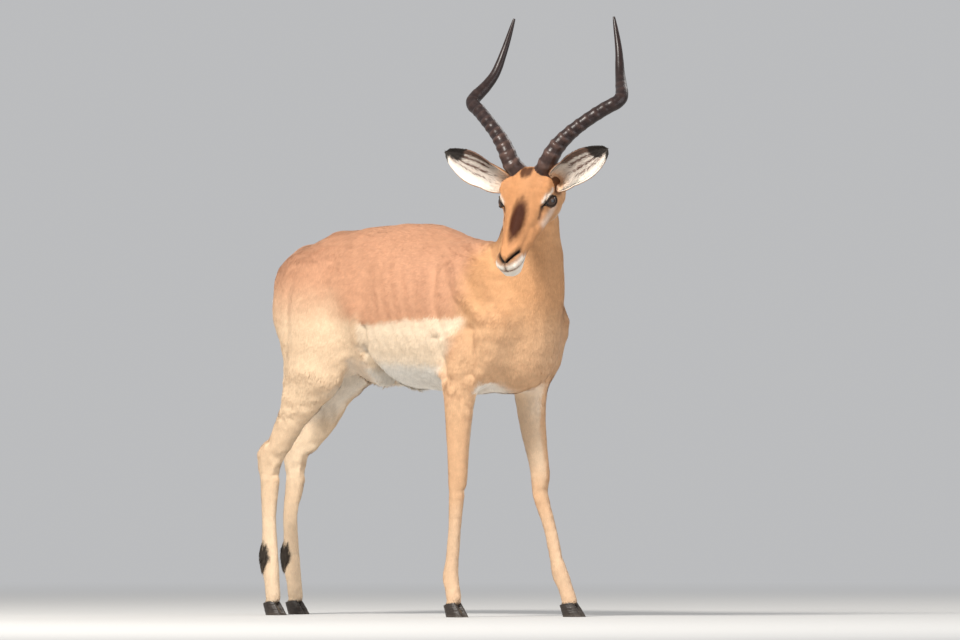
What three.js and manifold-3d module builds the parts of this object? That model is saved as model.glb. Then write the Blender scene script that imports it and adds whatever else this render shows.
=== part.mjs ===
// An adult impala ram, standing with its head turned to its right. Millimetres, +Z up,
// +X towards the animal's front, +Y to its left. The flesh is one smooth closed form, made of
// swept limbs and rounded muscles that melt into each other, and thin plane cuts part it into
// head, neck, trunk and legs. Horns, ears, eyes, tail and hooves are lofted pieces of their own.
import * as THREE from "three";
import { mergeVertices } from "three/addons/utils/BufferGeometryUtils.js";
import Module from "manifold-3d";

const wasm = await Module();
wasm.setup();

// ---------------------------------------------------------------- driving dimensions
const GAP = 0.3; // clearance left by every cut between two neighbours
const LEFT = 1;
const RIGHT = -1;

const HEAD_PLACE = [264, -155, 1026]; // forehead, between the horns, before the last shift
const HEAD_YAW = -75; // degrees, the head looks to the animal's right
const HEAD_PITCH = 56; // degrees below level of the line of the nose
const HEAD_ROLL = 1.2; // degrees about the nose, its left side a little higher
const EYE_RADIUS = 18;
const EYE_PLACE = [53, 54, -50]; // towards the nose, out to the side, above the forehead plane
const HORN_BASE_RADIUS = 21;
const HORN_MIDDLE_RADIUS = 15.5;
const HORN_RINGS = 15; // swollen rings on the lower part of a horn
const HORN_RINGED = 0.7; // share of the horn's length that carries them
const HORN_RING_SWELL = 0.06; // a ring's crest and trough, as a share of the radius
const EAR_WIDTH = 42; // half-width at its widest
const EAR_SHELL = 3; // thickness of the ear's shell
const COAT_BLEND = 34; // how softly limbs melt into the trunk
const HAUNCH_BLEND = 18; // the thighs stand off the belly with a sharper fold
const MUSCLE_BLEND = 16;
const FACE_BLEND = 14;

const MATERIALS = {
  tan: { color: 0xb5713f, roughness: 0.85, metalness: 0 },
  dark: { color: 0x2b2320, roughness: 0.5, metalness: 0 },
  eye: { color: 0x120c09, roughness: 0.12, metalness: 0 },
  hoof: { color: 0x241e1b, roughness: 0.45, metalness: 0 },
};

// ---------------------------------------------------------------- small helpers
const vec = (x, y, z) => new THREE.Vector3(x, y, z);
const radians = THREE.MathUtils.degToRad;
const mix = THREE.MathUtils.lerp;

const headMatrix = new THREE.Matrix4().compose(
  vec(...HEAD_PLACE),
  new THREE.Quaternion().setFromEuler(
    new THREE.Euler(radians(HEAD_ROLL), radians(HEAD_PITCH), radians(HEAD_YAW), "ZYX"),
  ),
  vec(1, 1, 1),
);

/** A point of the head's own frame: towards the nose, to the left, out of the forehead. */
const onHead = (forward, side, up) => vec(forward, side, up).applyMatrix4(headMatrix);
const headAxis = (x, y, z) => vec(x, y, z).transformDirection(headMatrix);

// ---------------------------------------------------------------- rounded forms as distances
/** Distance to an ellipse-like form, from the offset and its length in units of the radii. */
function roundDistance(length, ratio, least) {
  if (ratio < 1e-6) {
    return -least;
  }
  return length - length / ratio;
}

/** Two distances joined with a soft fillet of about the given size. */
function meltTwo(a, b, size) {
  const overlap = Math.max(size - Math.abs(a - b), 0) / size;
  return Math.min(a, b) - overlap * overlap * size * 0.25;
}

const melt = (parts, size) => (p) => parts.map((part) => part(p)).reduce((a, b) => meltTwo(a, b, size));

/** A rounded muscle: an ellipsoid whose first radius lies along the given direction. */
function muscle(centre, radii, along = vec(1, 0, 0), side = vec(0, 1, 0)) {
  const first = along.clone().normalize();
  const third = first.clone().cross(side).normalize();
  const second = third.clone().cross(first);
  const offset = new THREE.Vector3();
  return (p) => {
    offset.subVectors(p, centre);
    const ratio = Math.hypot(
      offset.dot(first) / radii[0],
      offset.dot(second) / radii[1],
      offset.dot(third) / radii[2],
    );
    return roundDistance(offset.length(), ratio, Math.min(...radii));
  };
}

/**
 * A limb: ellipses swept along a smooth line. Each station is [centre, half-width, half-depth],
 * the width across the given side direction and the depth in the plane of the bend.
 */
function limb(stations, side = vec(0, 1, 0), endRound = 1) {
  const line = new THREE.CatmullRomCurve3(stations.map((s) => s[0]), false, "centripetal");
  const steps = (stations.length - 1) * 8;
  const samples = [];
  for (let i = 0; i <= steps; i += 1) {
    const t = i / steps;
    const place = t * (stations.length - 1);
    const low = Math.min(Math.floor(place), stations.length - 2);
    const part = THREE.MathUtils.smoothstep(place - low, 0, 1) * 0.4 + (place - low) * 0.6;
    const along = line.getTangent(t);
    const deepWay = along.clone().cross(side).normalize();
    samples.push({
      centre: line.getPoint(t),
      along,
      deepWay,
      wideWay: deepWay.clone().cross(along),
      wide: mix(stations[low][1], stations[low + 1][1], part),
      deep: mix(stations[low][2], stations[low + 1][2], part),
    });
  }
  const step = new THREE.Vector3();
  const offset = new THREE.Vector3();
  return (p) => {
    let nearest = Infinity;
    let index = 0;
    let share = 0;
    for (let i = 0; i < steps; i += 1) {
      const a = samples[i].centre;
      step.subVectors(samples[i + 1].centre, a);
      offset.subVectors(p, a);
      const t = THREE.MathUtils.clamp(offset.dot(step) / step.lengthSq(), 0, 1);
      const distance = offset.addScaledVector(step, -t).lengthSq();
      if (distance < nearest) {
        nearest = distance;
        index = i;
        share = t;
      }
    }
    const a = samples[index];
    const b = samples[index + 1];
    const along = (v) => mix(offset.dot(a[v]), offset.dot(b[v]), share);
    offset.copy(p).sub(step.lerpVectors(a.centre, b.centre, share));
    const wide = mix(a.wide, b.wide, share);
    const deep = mix(a.deep, b.deep, share);
    const cap = Math.min(wide, deep) * endRound;
    const ratio = Math.hypot(along("wideWay") / wide, along("deepWay") / deep, along("along") / cap);
    return roundDistance(offset.length(), ratio, Math.min(wide, deep));
  };
}

// ---------------------------------------------------------------- trunk and neck
/** One section of the trunk, from its top, bottom and half-width at a place along the body. */
function rib(x, top, bottom, half) {
  return [vec(x, 0, (top + bottom) / 2), half, (top - bottom) / 2];
}

function makeTrunk() {
  const barrel = limb([
    rib(-498, 858, 700, 76),
    rib(-430, 896, 640, 100),
    rib(-345, 910, 572, 120),
    rib(-255, 910, 528, 140),
    rib(-160, 904, 521, 148),
    rib(-60, 868, 514, 140),
    rib(40, 838, 505, 120),
    rib(118, 785, 508, 90),
  ]);
  const withers = limb([
    [vec(-130, 0, 862), 34, 30],
    [vec(-40, 0, 838), 30, 30],
    [vec(40, 0, 830), 34, 32],
  ]);
  const brisket = muscle(vec(138, 0, 624), [72, 64, 92], vec(1, 0, 0.25));
  const croup = muscle(vec(-500, 0, 796), [78, 56, 46], vec(1, 0, 0.5));
  const seat = muscle(vec(-522, 0, 720), [48, 42, 88], vec(1, 0, 0.1));
  const sheath = muscle(vec(-300, 0, 552), [46, 13, 14], vec(1, 0, -0.3));
  return melt([barrel, withers, brisket, croup, seat, sheath], COAT_BLEND);
}

function makeNeck() {
  return limb([
    [vec(78, 0, 690), 90, 114],
    [vec(125, 0, 760), 86, 114],
    [vec(150, -5, 828), 73, 90],
    [vec(168, -17, 888), 60, 74],
    [vec(194, -33, 940), 51, 61],
    [onHead(-26, 0, -121), 44, 50],
  ]);
}

// ---------------------------------------------------------------- forelegs
/** Shoulder blade, upper arm and leg down to the coronet; the elbow and foot are given. */
function makeForeleg(side, places) {
  const { shoulder, elbow, forearm, knee, cannon, fetlock, foot } = places;
  const out = (x, y, z) => vec(x, side * y, z);
  const blade = limb([
    [out(-30, 52, 812), 24, 52],
    [out(mix(-30, shoulder[0], 0.55), 76, 742), 40, 62],
    [out(shoulder[0], 84, shoulder[1]), 42, 54],
  ]);
  const upperArm = limb([
    [out(shoulder[0] - 8, 86, shoulder[1] - 12), 40, 48],
    [out(mix(shoulder[0], elbow[0], 0.55), 88, 600), 40, 62],
    [out(elbow[0] - 2, elbow[1] - 3, elbow[2] + 8), 33, 48],
  ]);
  const lower = limb([
    [out(...elbow), 31, 44],
    [out(...forearm), 26, 34],
    [out(mix(forearm[0], knee[0], 0.6), mix(forearm[1], knee[1], 0.6), 371), 22, 27.5],
    [out(...knee), 20.5, 25],
    [out(knee[0] - 3, knee[1] + 1, knee[2] - 28), 17.5, 20],
    [out(...cannon), 13.5, 16.5],
    [out(mix(cannon[0], fetlock[0], 0.65), mix(cannon[1], fetlock[1], 0.65), fetlock[2] + 34), 14, 17],
    [out(...fetlock), 17.5, 21.5],
    [out(mix(fetlock[0], foot[0], 0.5), mix(fetlock[1], foot[1], 0.5), 64), 17, 18],
    [out(...foot, 22), 18, 20],
  ]);
  return melt([blade, upperArm, lower], MUSCLE_BLEND);
}

const FORE_PLACES = {
  [RIGHT]: {
    shoulder: [126, 672],
    elbow: [16, 92, 530],
    forearm: [13, 92, 440],
    knee: [9, 90, 312],
    cannon: [0, 90, 205],
    fetlock: [-13, 90, 92],
    foot: [0, 90],
  },
  [LEFT]: {
    shoulder: [142, 668],
    elbow: [72, 93, 530],
    forearm: [78, 96, 440],
    knee: [92, 108, 314],
    cannon: [110, 118, 208],
    fetlock: [134, 128, 98],
    foot: [162, 134],
  },
};

// ---------------------------------------------------------------- hind legs
/** Haunch, thigh and leg down to the coronet; the stifle, hock and foot are given. */
function makeHindleg(side, places) {
  const { thigh, stifle, gaskin, hock, cannon, fetlock, foot } = places;
  const out = (x, y, z) => vec(x, side * y, z);
  const haunch = limb([
    [out(-452, 58, 800), 54, 104],
    [out(-430, 70, 712), 62, 114],
    [out(...thigh), 56, 106],
    [out(...stifle), 44, 80],
  ]);
  const buttock = limb([
    [out(-530, 48, 764), 34, 36],
    [out(-526, 61, 700), 38, 36],
    [out(mix(-486, gaskin[0], 0.35), 74, 622), 34, 34],
    [out(mix(-478, gaskin[0], 0.7), 84, 545), 27, 30],
    [out(gaskin[0], gaskin[1], gaskin[2] + 26), 22, 26],
  ]);
  const lower = limb([
    [out(...stifle), 40, 72],
    [out(mix(stifle[0], gaskin[0], 0.6), mix(stifle[1], gaskin[1], 0.6), mix(stifle[2], gaskin[2], 0.6)), 33, 52],
    [out(...gaskin), 25, 40],
    [out(mix(gaskin[0], hock[0], 0.62), mix(gaskin[1], hock[1], 0.62), hock[2] + 32), 21, 35],
    [out(...hock), 21, 36],
    [out(hock[0] - 4, hock[1], hock[2] - 62), 17, 26],
    [out(...cannon), 13.5, 20],
    [out(fetlock[0] - 1, fetlock[1], fetlock[2] + 42), 14.5, 20.5],
    [out(...fetlock), 17, 22],
    [out(mix(fetlock[0], foot[0], 0.5), fetlock[1], 68), 16.5, 19],
    [out(...foot, 22), 17.5, 19.5],
  ]);
  const heelBone = muscle(out(hock[0] - 27, hock[1], hock[2] - 2), [16, 11, 26], vec(1, 0, 0.2));
  const scentTuft = muscle(out(fetlock[0] - 17, fetlock[1], fetlock[2] + 32), [9, 11, 30]);
  return melt([melt([haunch, buttock], COAT_BLEND), lower, heelBone, scentTuft], MUSCLE_BLEND);
}

const HIND_PLACES = {
  [RIGHT]: {
    thigh: [-408, 84, 630],
    stifle: [-412, 94, 560],
    gaskin: [-490, 90, 458],
    hock: [-562, 82, 366],
    cannon: [-570, 80, 230],
    fetlock: [-565, 80, 108],
    foot: [-556, 80],
  },
  [LEFT]: {
    thigh: [-446, 84, 636],
    stifle: [-504, 94, 566],
    gaskin: [-544, 90, 462],
    hock: [-624, 82, 372],
    cannon: [-642, 80, 232],
    fetlock: [-636, 80, 108],
    foot: [-624, 80],
  },
};

// ---------------------------------------------------------------- head
/** One section of the head, from its top and bottom line and half-width along the nose. */
function slice(forward, top, bottom, half) {
  return [onHead(forward, 0, (top + bottom) / 2), half, (top - bottom) / 2];
}

function makeHead() {
  const across = headAxis(0, 1, 0);
  const nose = headAxis(1, 0, 0);
  const skull = limb([
    slice(-28, -60, -138, 40),
    slice(4, -18, -124, 50),
    slice(26, -6, -122, 56),
    slice(62, -16, -112, 60),
    slice(98, -22, -100, 54),
    slice(146, -24, -88, 40),
    slice(184, -24, -80, 34),
    slice(216, -25, -76, 30),
  ], across, 0.9);
  const bridge = limb([
    [onHead(46, 0, -34), 34, 20],
    [onHead(110, 0, -39), 24, 16],
    [onHead(212, 0, -40), 20, 15],
  ], across);
  const muzzle = muscle(onHead(225, 0, -46), [26, 31, 23], nose, across);
  const chin = muscle(onHead(225, 0, -66), [22, 20, 13], nose, across);
  const crest = muscle(onHead(0, 0, -30), [22, 44, 22], nose, across);
  const parts = [melt([skull, bridge], 14), muzzle, chin, crest];
  for (const side of [LEFT, RIGHT]) {
    const brow = [headAxis(1, side * -0.12, -0.3), across];
    parts.push(muscle(onHead(36, side * 50, -36), [34, 18, 17], ...brow));
    parts.push(muscle(onHead(30, side * 40, -92), [50, 18, 32], headAxis(1, 0, 0.25), across));
    parts.push(muscle(onHead(-14, side * 42, -64), [26, 22, 26]));
  }
  return melt(parts, FACE_BLEND);
}

// ---------------------------------------------------------------- the whole flesh
function makeFlesh() {
  const forehand = melt([
    makeTrunk(),
    makeNeck(),
    makeForeleg(RIGHT, FORE_PLACES[RIGHT]),
    makeForeleg(LEFT, FORE_PLACES[LEFT]),
  ], COAT_BLEND);
  const body = melt([
    forehand,
    makeHindleg(RIGHT, HIND_PLACES[RIGHT]),
    makeHindleg(LEFT, HIND_PLACES[LEFT]),
  ], HAUNCH_BLEND);
  const head = makeHead();
  return (p) => meltTwo(body(p), head(p), 22);
}

const flesh = makeFlesh();

// ---------------------------------------------------------------- turning a distance into a mesh
/** Moves a point along the slope of the distance until it lies on the surface. */
function settle(field, p, reach) {
  const start = p.clone();
  const probe = new THREE.Vector3();
  const nudge = 0.5;
  for (let turn = 0; turn < 3; turn += 1) {
    const value = field(p);
    const slope = new THREE.Vector3();
    for (const axis of ["x", "y", "z"]) {
      probe.copy(p);
      probe[axis] += nudge;
      slope[axis] = (field(probe) - value) / nudge;
    }
    p.addScaledVector(slope, -value / Math.max(slope.lengthSq(), 0.2));
  }
  p.clamp(start.clone().sub(reach), start.clone().add(reach));
}

/** The grid of distances over a box, closed by counting its outermost layer as outside. */
function sampleGrid(field, low, size, counts) {
  const values = new Float64Array(counts[0] * counts[1] * counts[2]);
  const inner = (i, axis) => i > 0 && i < counts[axis] - 1;
  let at = 0;
  for (let k = 0; k < counts[2]; k += 1) {
    for (let j = 0; j < counts[1]; j += 1) {
      for (let i = 0; i < counts[0]; i += 1) {
        const inside = inner(i, 0) && inner(j, 1) && inner(k, 2);
        const p = vec(low[0] + i * size[0], low[1] + j * size[1], low[2] + k * size[2]);
        values[at] = inside ? field(p) : Math.max(size[0], Math.abs(field(p)));
        at += 1;
      }
    }
  }
  return values;
}

/** A closed mesh of the surface of a distance, with one vertex in each cell that it crosses. */
function netMesh(field, low, high, size) {
  const counts = [0, 1, 2].map((axis) => Math.ceil((high[axis] - low[axis]) / size[axis]) + 1);
  const stride = [1, counts[0], counts[0] * counts[1]];
  const values = sampleGrid(field, low, size, counts);
  const cells = new Map();
  const vertices = [];
  const reach = vec(...size).multiplyScalar(0.7);

  function cellVertex(i, j, k) {
    const base = i + j * stride[1] + k * stride[2];
    if (cells.has(base)) {
      return cells.get(base);
    }
    const sum = new THREE.Vector3();
    let crossings = 0;
    for (let axis = 0; axis < 3; axis += 1) {
      const [u, v] = [(axis + 1) % 3, (axis + 2) % 3];
      for (let corner = 0; corner < 4; corner += 1) {
        const shift = [0, 0, 0];
        shift[u] = corner & 1;
        shift[v] = corner >> 1;
        const from = base + shift[0] + shift[1] * stride[1] + shift[2] * stride[2];
        const [a, b] = [values[from], values[from + stride[axis]]];
        if (a < 0 !== b < 0) {
          shift[axis] = a / (a - b);
          sum.add(vec(...shift));
          crossings += 1;
        }
      }
    }
    sum.divideScalar(crossings).add(vec(i, j, k)).multiply(vec(...size)).add(vec(...low));
    const edge = [i, j, k].some((n, axis) => n === 0 || n === counts[axis] - 2);
    if (!edge) {
      settle(field, sum, reach);
    }
    vertices.push(sum);
    cells.set(base, vertices.length - 1);
    return vertices.length - 1;
  }

  const triangles = [];
  for (let k = 1; k < counts[2] - 1; k += 1) {
    for (let j = 1; j < counts[1] - 1; j += 1) {
      for (let i = 1; i < counts[0] - 1; i += 1) {
        const base = i + j * stride[1] + k * stride[2];
        for (let axis = 0; axis < 3; axis += 1) {
          const [inner, outer] = [values[base] < 0, values[base + stride[axis]] < 0];
          addQuad([i, j, k], axis, inner, outer);
        }
        for (let axis = 0; axis < 3; axis += 1) {
          if ([i, j, k][axis] === 1) {
            const before = [i, j, k];
            before[axis] = 0;
            addQuad(before, axis, false, values[base] < 0);
          }
        }
      }
    }
  }

  function addQuad(at, axis, inner, outer) {
    if (inner === outer) {
      return;
    }
    const [u, v] = [(axis + 1) % 3, (axis + 2) % 3];
    const ring = [[0, 0], [-1, 0], [-1, -1], [0, -1]].map(([du, dv]) => {
      const cell = [...at];
      cell[u] += du;
      cell[v] += dv;
      return cellVertex(...cell);
    });
    const quad = inner ? ring : ring.reverse();
    const [a, b, c, d] = quad.map((index) => vertices[index]);
    const cut = a.distanceTo(c) < b.distanceTo(d) ? [0, 1, 2, 0, 2, 3] : [1, 2, 3, 1, 3, 0];
    triangles.push(...cut.map((corner) => quad[corner]));
  }

  return { vertices, triangles };
}

// ---------------------------------------------------------------- solids
function toSolid(vertices, triangles) {
  const vertProperties = new Float32Array(vertices.flatMap((v) => [v.x, v.y, v.z]));
  return new wasm.Manifold(new wasm.Mesh({
    numProp: 3,
    vertProperties,
    triVerts: new Uint32Array(triangles),
  }));
}

function geometryOf(solid) {
  const mesh = solid.getMesh();
  const geometry = new THREE.BufferGeometry();
  geometry.setAttribute("position", new THREE.BufferAttribute(mesh.vertProperties, 3));
  geometry.setIndex(new THREE.BufferAttribute(mesh.triVerts, 1));
  return geometry;
}

function solidOf(geometry) {
  const plain = geometry.clone();
  plain.deleteAttribute("normal");
  plain.deleteAttribute("uv");
  const merged = mergeVertices(plain);
  const place = merged.getAttribute("position");
  const vertices = [];
  for (let i = 0; i < place.count; i += 1) {
    vertices.push(new THREE.Vector3().fromBufferAttribute(place, i));
  }
  return toSolid(vertices, Array.from(merged.getIndex().array));
}

/** Everything on the side of a plane that its direction points to, as one very large box. */
function sideOf(point, direction, inset = 0) {
  const size = 5000;
  const box = new THREE.BoxGeometry(size, size, size);
  const way = direction.clone().normalize();
  box.translate(0, 0, size / 2 + inset);
  box.applyQuaternion(new THREE.Quaternion().setFromUnitVectors(vec(0, 0, 1), way));
  box.translate(point.x, point.y, point.z);
  return solidOf(box);
}

/** The flesh inside a box, meshed with cells of the given size, then kept to some sides. */
function fleshIn(low, high, size, sides) {
  const net = netMesh(flesh, low, high, size);
  return sides.reduce((solid, side) => solid.intersect(side), toSolid(net.vertices, net.triangles));
}

/** Where a lofted piece's section lies once the piece has grown: its two ends move outwards. */
const grownCentre = (centre, along, t, grown) => centre.addScaledVector(along, grown * (2 * t - 1));

/** A closed skin over rings of points, each ring wound the same way, with flat ends. */
function loft(rings) {
  const around = rings[0].length;
  const vertices = rings.flat();
  const triangles = [];
  for (let i = 0; i < rings.length - 1; i += 1) {
    for (let j = 0; j < around; j += 1) {
      const a = i * around + j;
      const b = i * around + ((j + 1) % around);
      triangles.push(a, b, b + around, a, b + around, a + around);
    }
  }
  const last = (rings.length - 1) * around;
  for (let j = 1; j < around - 1; j += 1) {
    triangles.push(0, j + 1, j);
    triangles.push(last, last + j, last + j + 1);
  }
  const solid = toSolid(vertices, triangles);
  return solid.volume() > 0 ? solid : toSolid(vertices, triangles.reverse());
}

// ---------------------------------------------------------------- where the cuts lie
const neckRoot = { point: vec(30, 0, 872), way: vec(0.6, 0, 0.8) };
const headRoot = { point: onHead(-66, 0, -80), way: headAxis(0.36, 0, 0.933) };
const HOCK_CUT = 318;
const KNEE_CUT = 286;

/** The wedge of space that belongs to one hind leg, from its planes; inset leaves the gap. */
function hindWedge(side, inset) {
  return [
    sideOf(vec(0, side * 2, 590), vec(0, side * 0.89, -0.46), inset),
    sideOf(vec(-262, 0, 640), vec(-0.83, 0, -0.56), inset),
    sideOf(vec(0, side * 0.5, 0), vec(0, side, 0), inset),
  ];
}

/** The wedge of space that belongs to one foreleg, below and outside the brisket. */
function foreWedge(side, middle, inset) {
  return [
    sideOf(vec(0, side * 46, 500), vec(0, side * 0.7, -0.72), inset),
    sideOf(vec(middle - 88, 0, 0), vec(1, 0, 0), inset),
    sideOf(vec(middle + 88, 0, 0), vec(-1, 0, 0), inset),
    sideOf(vec(0, side * 30, 0), vec(0, side, 0), inset),
  ];
}

const joined = (sides) => sides.reduce((a, b) => a.intersect(b));
const FORE_MIDDLE = { [RIGHT]: 22, [LEFT]: 86 };

// ---------------------------------------------------------------- hooves
const HOOF = { half: 25, claw: 18.5, top: 36, toeLean: 17, cleft: 1.5, rise: 0.22 };

/** The plane on which a leg's skin ends and its hoof begins, higher at the toe. */
function coronet(side, foot, heading) {
  const toe = vec(Math.cos(heading), Math.sin(heading), 0);
  const point = vec(foot[0], side * foot[1], HOOF.top - 3);
  const way = vec(-toe.x * HOOF.rise, -toe.y * HOOF.rise, 1);
  return { point, way, toe };
}

/** One claw of a cloven hoof: a leaning wall on a flat sole, straight along the cleft. */
function makeClaw(side, foot, heading, clawSide, scale) {
  const around = 12;
  const levels = 3;
  const { point, toe } = coronet(side, foot, heading);
  const across = vec(-toe.y, toe.x, 0).multiplyScalar(clawSide);
  const rings = [];
  for (let level = 0; level < levels; level += 1) {
    const share = level / (levels - 1);
    const half = HOOF.half * scale * mix(1, 0.7, share);
    const width = HOOF.claw * scale * mix(1, 0.86, share);
    const lean = HOOF.toeLean * (0.5 - share);
    const ring = [];
    for (let j = 0; j < around; j += 1) {
      const turn = (2 * Math.PI * j) / around;
      const ahead = half * Math.cos(turn) + lean;
      const narrow = 1 - 0.42 * Math.max(Math.cos(turn), 0) ** 2;
      const out = HOOF.cleft + (width / 2) * (1 + narrow * Math.sin(turn) * (Math.sin(turn) < 0 ? 1 : 1.05));
      const roof = HOOF.top - 3 - GAP + HOOF.rise * ahead;
      const p = vec(point.x, point.y, 0).addScaledVector(toe, ahead).addScaledVector(across, out);
      p.z = share * roof;
      ring.push(p);
    }
    rings.push(ring);
  }
  return loft(rings);
}

// ---------------------------------------------------------------- horns
/** Centre line of one horn in the head's frame: out, back, then up to inturned tips. */
const HORN_LINE = [
  [-12, 26, -38],
  [-28, 46, -12],
  [-58, 63.5, 1],
  [-93, 89.5, 6],
  [-130, 124, 6],
  [-168, 161, 0],
  [-190, 184.5, -5],
  [-206, 188, -9],
  [-250, 171.5, -19],
  [-285, 159, -21],
  [-340, 146, -10],
  [-411, 127, 18],
];

/** Thick at the root, even through the ringed part, then tapering to a blunt point. */
function hornRadius(t) {
  const lower = mix(HORN_BASE_RADIUS, HORN_MIDDLE_RADIUS, THREE.MathUtils.smoothstep(t, 0, 0.35));
  const taper = mix(1, 0.62, THREE.MathUtils.smoothstep(t, 0.5, 0.82));
  const tip = Math.sqrt(THREE.MathUtils.clamp((1.02 - t) / 0.25, 0, 1));
  return lower * taper * tip;
}

/** The sections of a horn: two to each ring, on its crest and its trough, then the smooth tip. */
function hornSections() {
  const sections = [];
  const ringed = 2 * HORN_RINGS;
  for (let i = 0; i <= ringed; i += 1) {
    const t = (i / ringed) * HORN_RINGED;
    const fade = 1 - THREE.MathUtils.smoothstep(t, 0.5, HORN_RINGED);
    const swell = i % 2 === 0 ? HORN_RING_SWELL : -HORN_RING_SWELL;
    sections.push({ t, radius: hornRadius(t) * (1 + fade * swell) });
  }
  const smooth = 7;
  for (let i = 1; i <= smooth; i += 1) {
    const t = mix(HORN_RINGED, 1, i / smooth);
    sections.push({ t, radius: hornRadius(t) });
  }
  return sections;
}

function makeHorn(side, grown = 0) {
  const points = HORN_LINE.map(([x, y, z]) => onHead(x, side * y, z));
  const line = new THREE.CatmullRomCurve3(points, false, "centripetal");
  const around = 8;
  const front = headAxis(0.35, 0, 0.94);
  return loft(hornSections().map(({ t, radius }) => {
    const along = line.getTangentAt(t);
    const wide = along.clone().cross(front).normalize();
    const deep = wide.clone().cross(along);
    const stretch = mix(1.14, 1, THREE.MathUtils.smoothstep(t, 0, 0.3));
    const centre = grownCentre(line.getPointAt(t), along, t, grown);
    const ring = [];
    for (let j = 0; j < around; j += 1) {
      const turn = (2 * Math.PI * j) / around;
      ring.push(centre.clone()
        .addScaledVector(wide, (radius + grown) * Math.cos(turn))
        .addScaledVector(deep, (radius * stretch + grown) * Math.sin(turn)));
    }
    return ring;
  }));
}

// ---------------------------------------------------------------- ears
const EAR_LINE = [
  [-10, 61, -61],
  [-10, 82, -46],
  [-17, 121.5, -22],
  [-31, 169, -1],
  [-44, 205, 15],
];

/** Half-width of an ear from its narrow root, through the broad middle, to its tip. */
function earHalf(t) {
  const leaf = Math.max(Math.sin(Math.PI * t ** 0.82), 0) ** 0.62;
  return 4 + (EAR_WIDTH - 4) * leaf + 8 * (1 - t) ** 2;
}

/** A cupped shell: each section is a thin crescent, closed to a funnel at the root. */
function makeEar(side, grown = 0) {
  const points = EAR_LINE.map(([x, y, z]) => onHead(x, side * y, z));
  const line = new THREE.CatmullRomCurve3(points, false, "centripetal");
  const opening = headAxis(0.62, side * 0.1, 0.78);
  const levels = 9;
  const across = 6;
  const rings = [];
  for (let i = 0; i <= levels; i += 1) {
    const t = i / levels;
    const along = line.getTangentAt(t);
    const wide = along.clone().cross(opening).normalize();
    const hollow = wide.clone().cross(along).normalize();
    const half = earHalf(t);
    const bend = mix(1.9, 0.55, THREE.MathUtils.smoothstep(t, 0, 0.85));
    const radius = half / Math.min(bend, 1.4);
    const centre = grownCentre(line.getPointAt(t), along, t, grown);
    const ring = [];
    for (let layer = 0; layer < 2; layer += 1) {
      for (let j = 0; j <= across; j += 1) {
        const share = layer === 0 ? j / across : 1 - j / across;
        const turn = (bend + grown / radius) * (2 * share - 1);
        const rim = 0.25 + 0.75 * Math.sin(Math.PI * mix(0.08, 0.92, share));
        const depth = radius + (layer === 0 ? grown : -EAR_SHELL * rim - grown);
        ring.push(centre.clone()
          .addScaledVector(wide, depth * Math.sin(turn))
          .addScaledVector(hollow, radius - depth * Math.cos(turn)));
      }
    }
    rings.push(ring);
  }
  return loft(rings);
}

// ---------------------------------------------------------------- eyes and tail
function makeEye(side, grown = 0) {
  const ball = new THREE.SphereGeometry(EYE_RADIUS + grown, 10, 7);
  const solid = solidOf(ball);
  return solid.translate(onHead(EYE_PLACE[0], side * EYE_PLACE[1], EYE_PLACE[2]).toArray());
}

/** The tail hangs close behind the buttocks; its hair makes it widest below the middle. */
function makeTail(grown = 0) {
  const stations = [
    [-548, 822, 12, 12],
    [-580, 806, 15, 13],
    [-591, 768, 18, 14],
    [-591, 724, 20, 14],
    [-585, 682, 21, 13],
    [-574, 636, 19, 12],
    [-563, 592, 15, 10],
    [-555, 556, 7, 6],
  ];
  const line = new THREE.CatmullRomCurve3(stations.map(([x, z]) => vec(x, 0, z)), false, "centripetal");
  const levels = 11;
  const around = 8;
  const rings = [];
  for (let i = 0; i <= levels; i += 1) {
    const place = (i / levels) * (stations.length - 1);
    const low = Math.min(Math.floor(place), stations.length - 2);
    const wide = mix(stations[low][2], stations[low + 1][2], place - low) + grown;
    const deep = mix(stations[low][3], stations[low + 1][3], place - low) + grown;
    const along = line.getTangent(i / levels);
    const back = vec(0, 1, 0).cross(along);
    const centre = grownCentre(line.getPoint(i / levels), along, i / levels, grown);
    const ring = [];
    for (let j = 0; j < around; j += 1) {
      const turn = (2 * Math.PI * j) / around;
      ring.push(centre.clone()
        .addScaledVector(vec(0, 1, 0), wide * Math.cos(turn))
        .addScaledVector(back, deep * Math.sin(turn)));
    }
    rings.push(ring);
  }
  return loft(rings);
}

// ---------------------------------------------------------------- assembly
/** Cell sizes of the grids the flesh is meshed on: fine for the face, long down the legs. */
const CELLS = {
  head: [16, 14, 13.5],
  body: [33, 30, 31],
  foreUpper: [19, 17.5, 32],
  hindUpper: [28, 22, 31],
  lowerLeg: [11.5, 10.5, 30],
};

const impala = new THREE.Group();

function add(name, solid, look) {
  const material = new THREE.MeshStandardMaterial(MATERIALS[look]);
  const mesh = new THREE.Mesh(geometryOf(solid), material);
  mesh.name = name;
  impala.add(mesh);
}

const sideName = { [LEFT]: "left", [RIGHT]: "right" };

/** The box a leg is meshed in: so far behind and ahead of x, and to each side of y. */
const legBox = ([x, y], behind, ahead, half, bottom, top) => [
  [x - behind, y - half, bottom],
  [x + ahead, y + half, top],
];

/** Meshes the head on a grid that is turned with it, so the face is cut evenly. */
function makeHeadSolid() {
  const p = new THREE.Vector3();
  const local = (q) => flesh(p.copy(q).applyMatrix4(headMatrix));
  const net = netMesh(local, [-98, -88, -160], [258, 88, 26], CELLS.head);
  for (const vertex of net.vertices) {
    vertex.applyMatrix4(headMatrix);
  }
  let solid = toSolid(net.vertices, net.triangles);
  solid = solid.intersect(sideOf(headRoot.point, headRoot.way, GAP));
  for (const side of [LEFT, RIGHT]) {
    solid = solid.subtract(makeEye(side, GAP));
    solid = solid.subtract(makeHorn(side, GAP));
    solid = solid.subtract(makeEar(side, GAP));
  }
  return solid;
}

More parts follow.
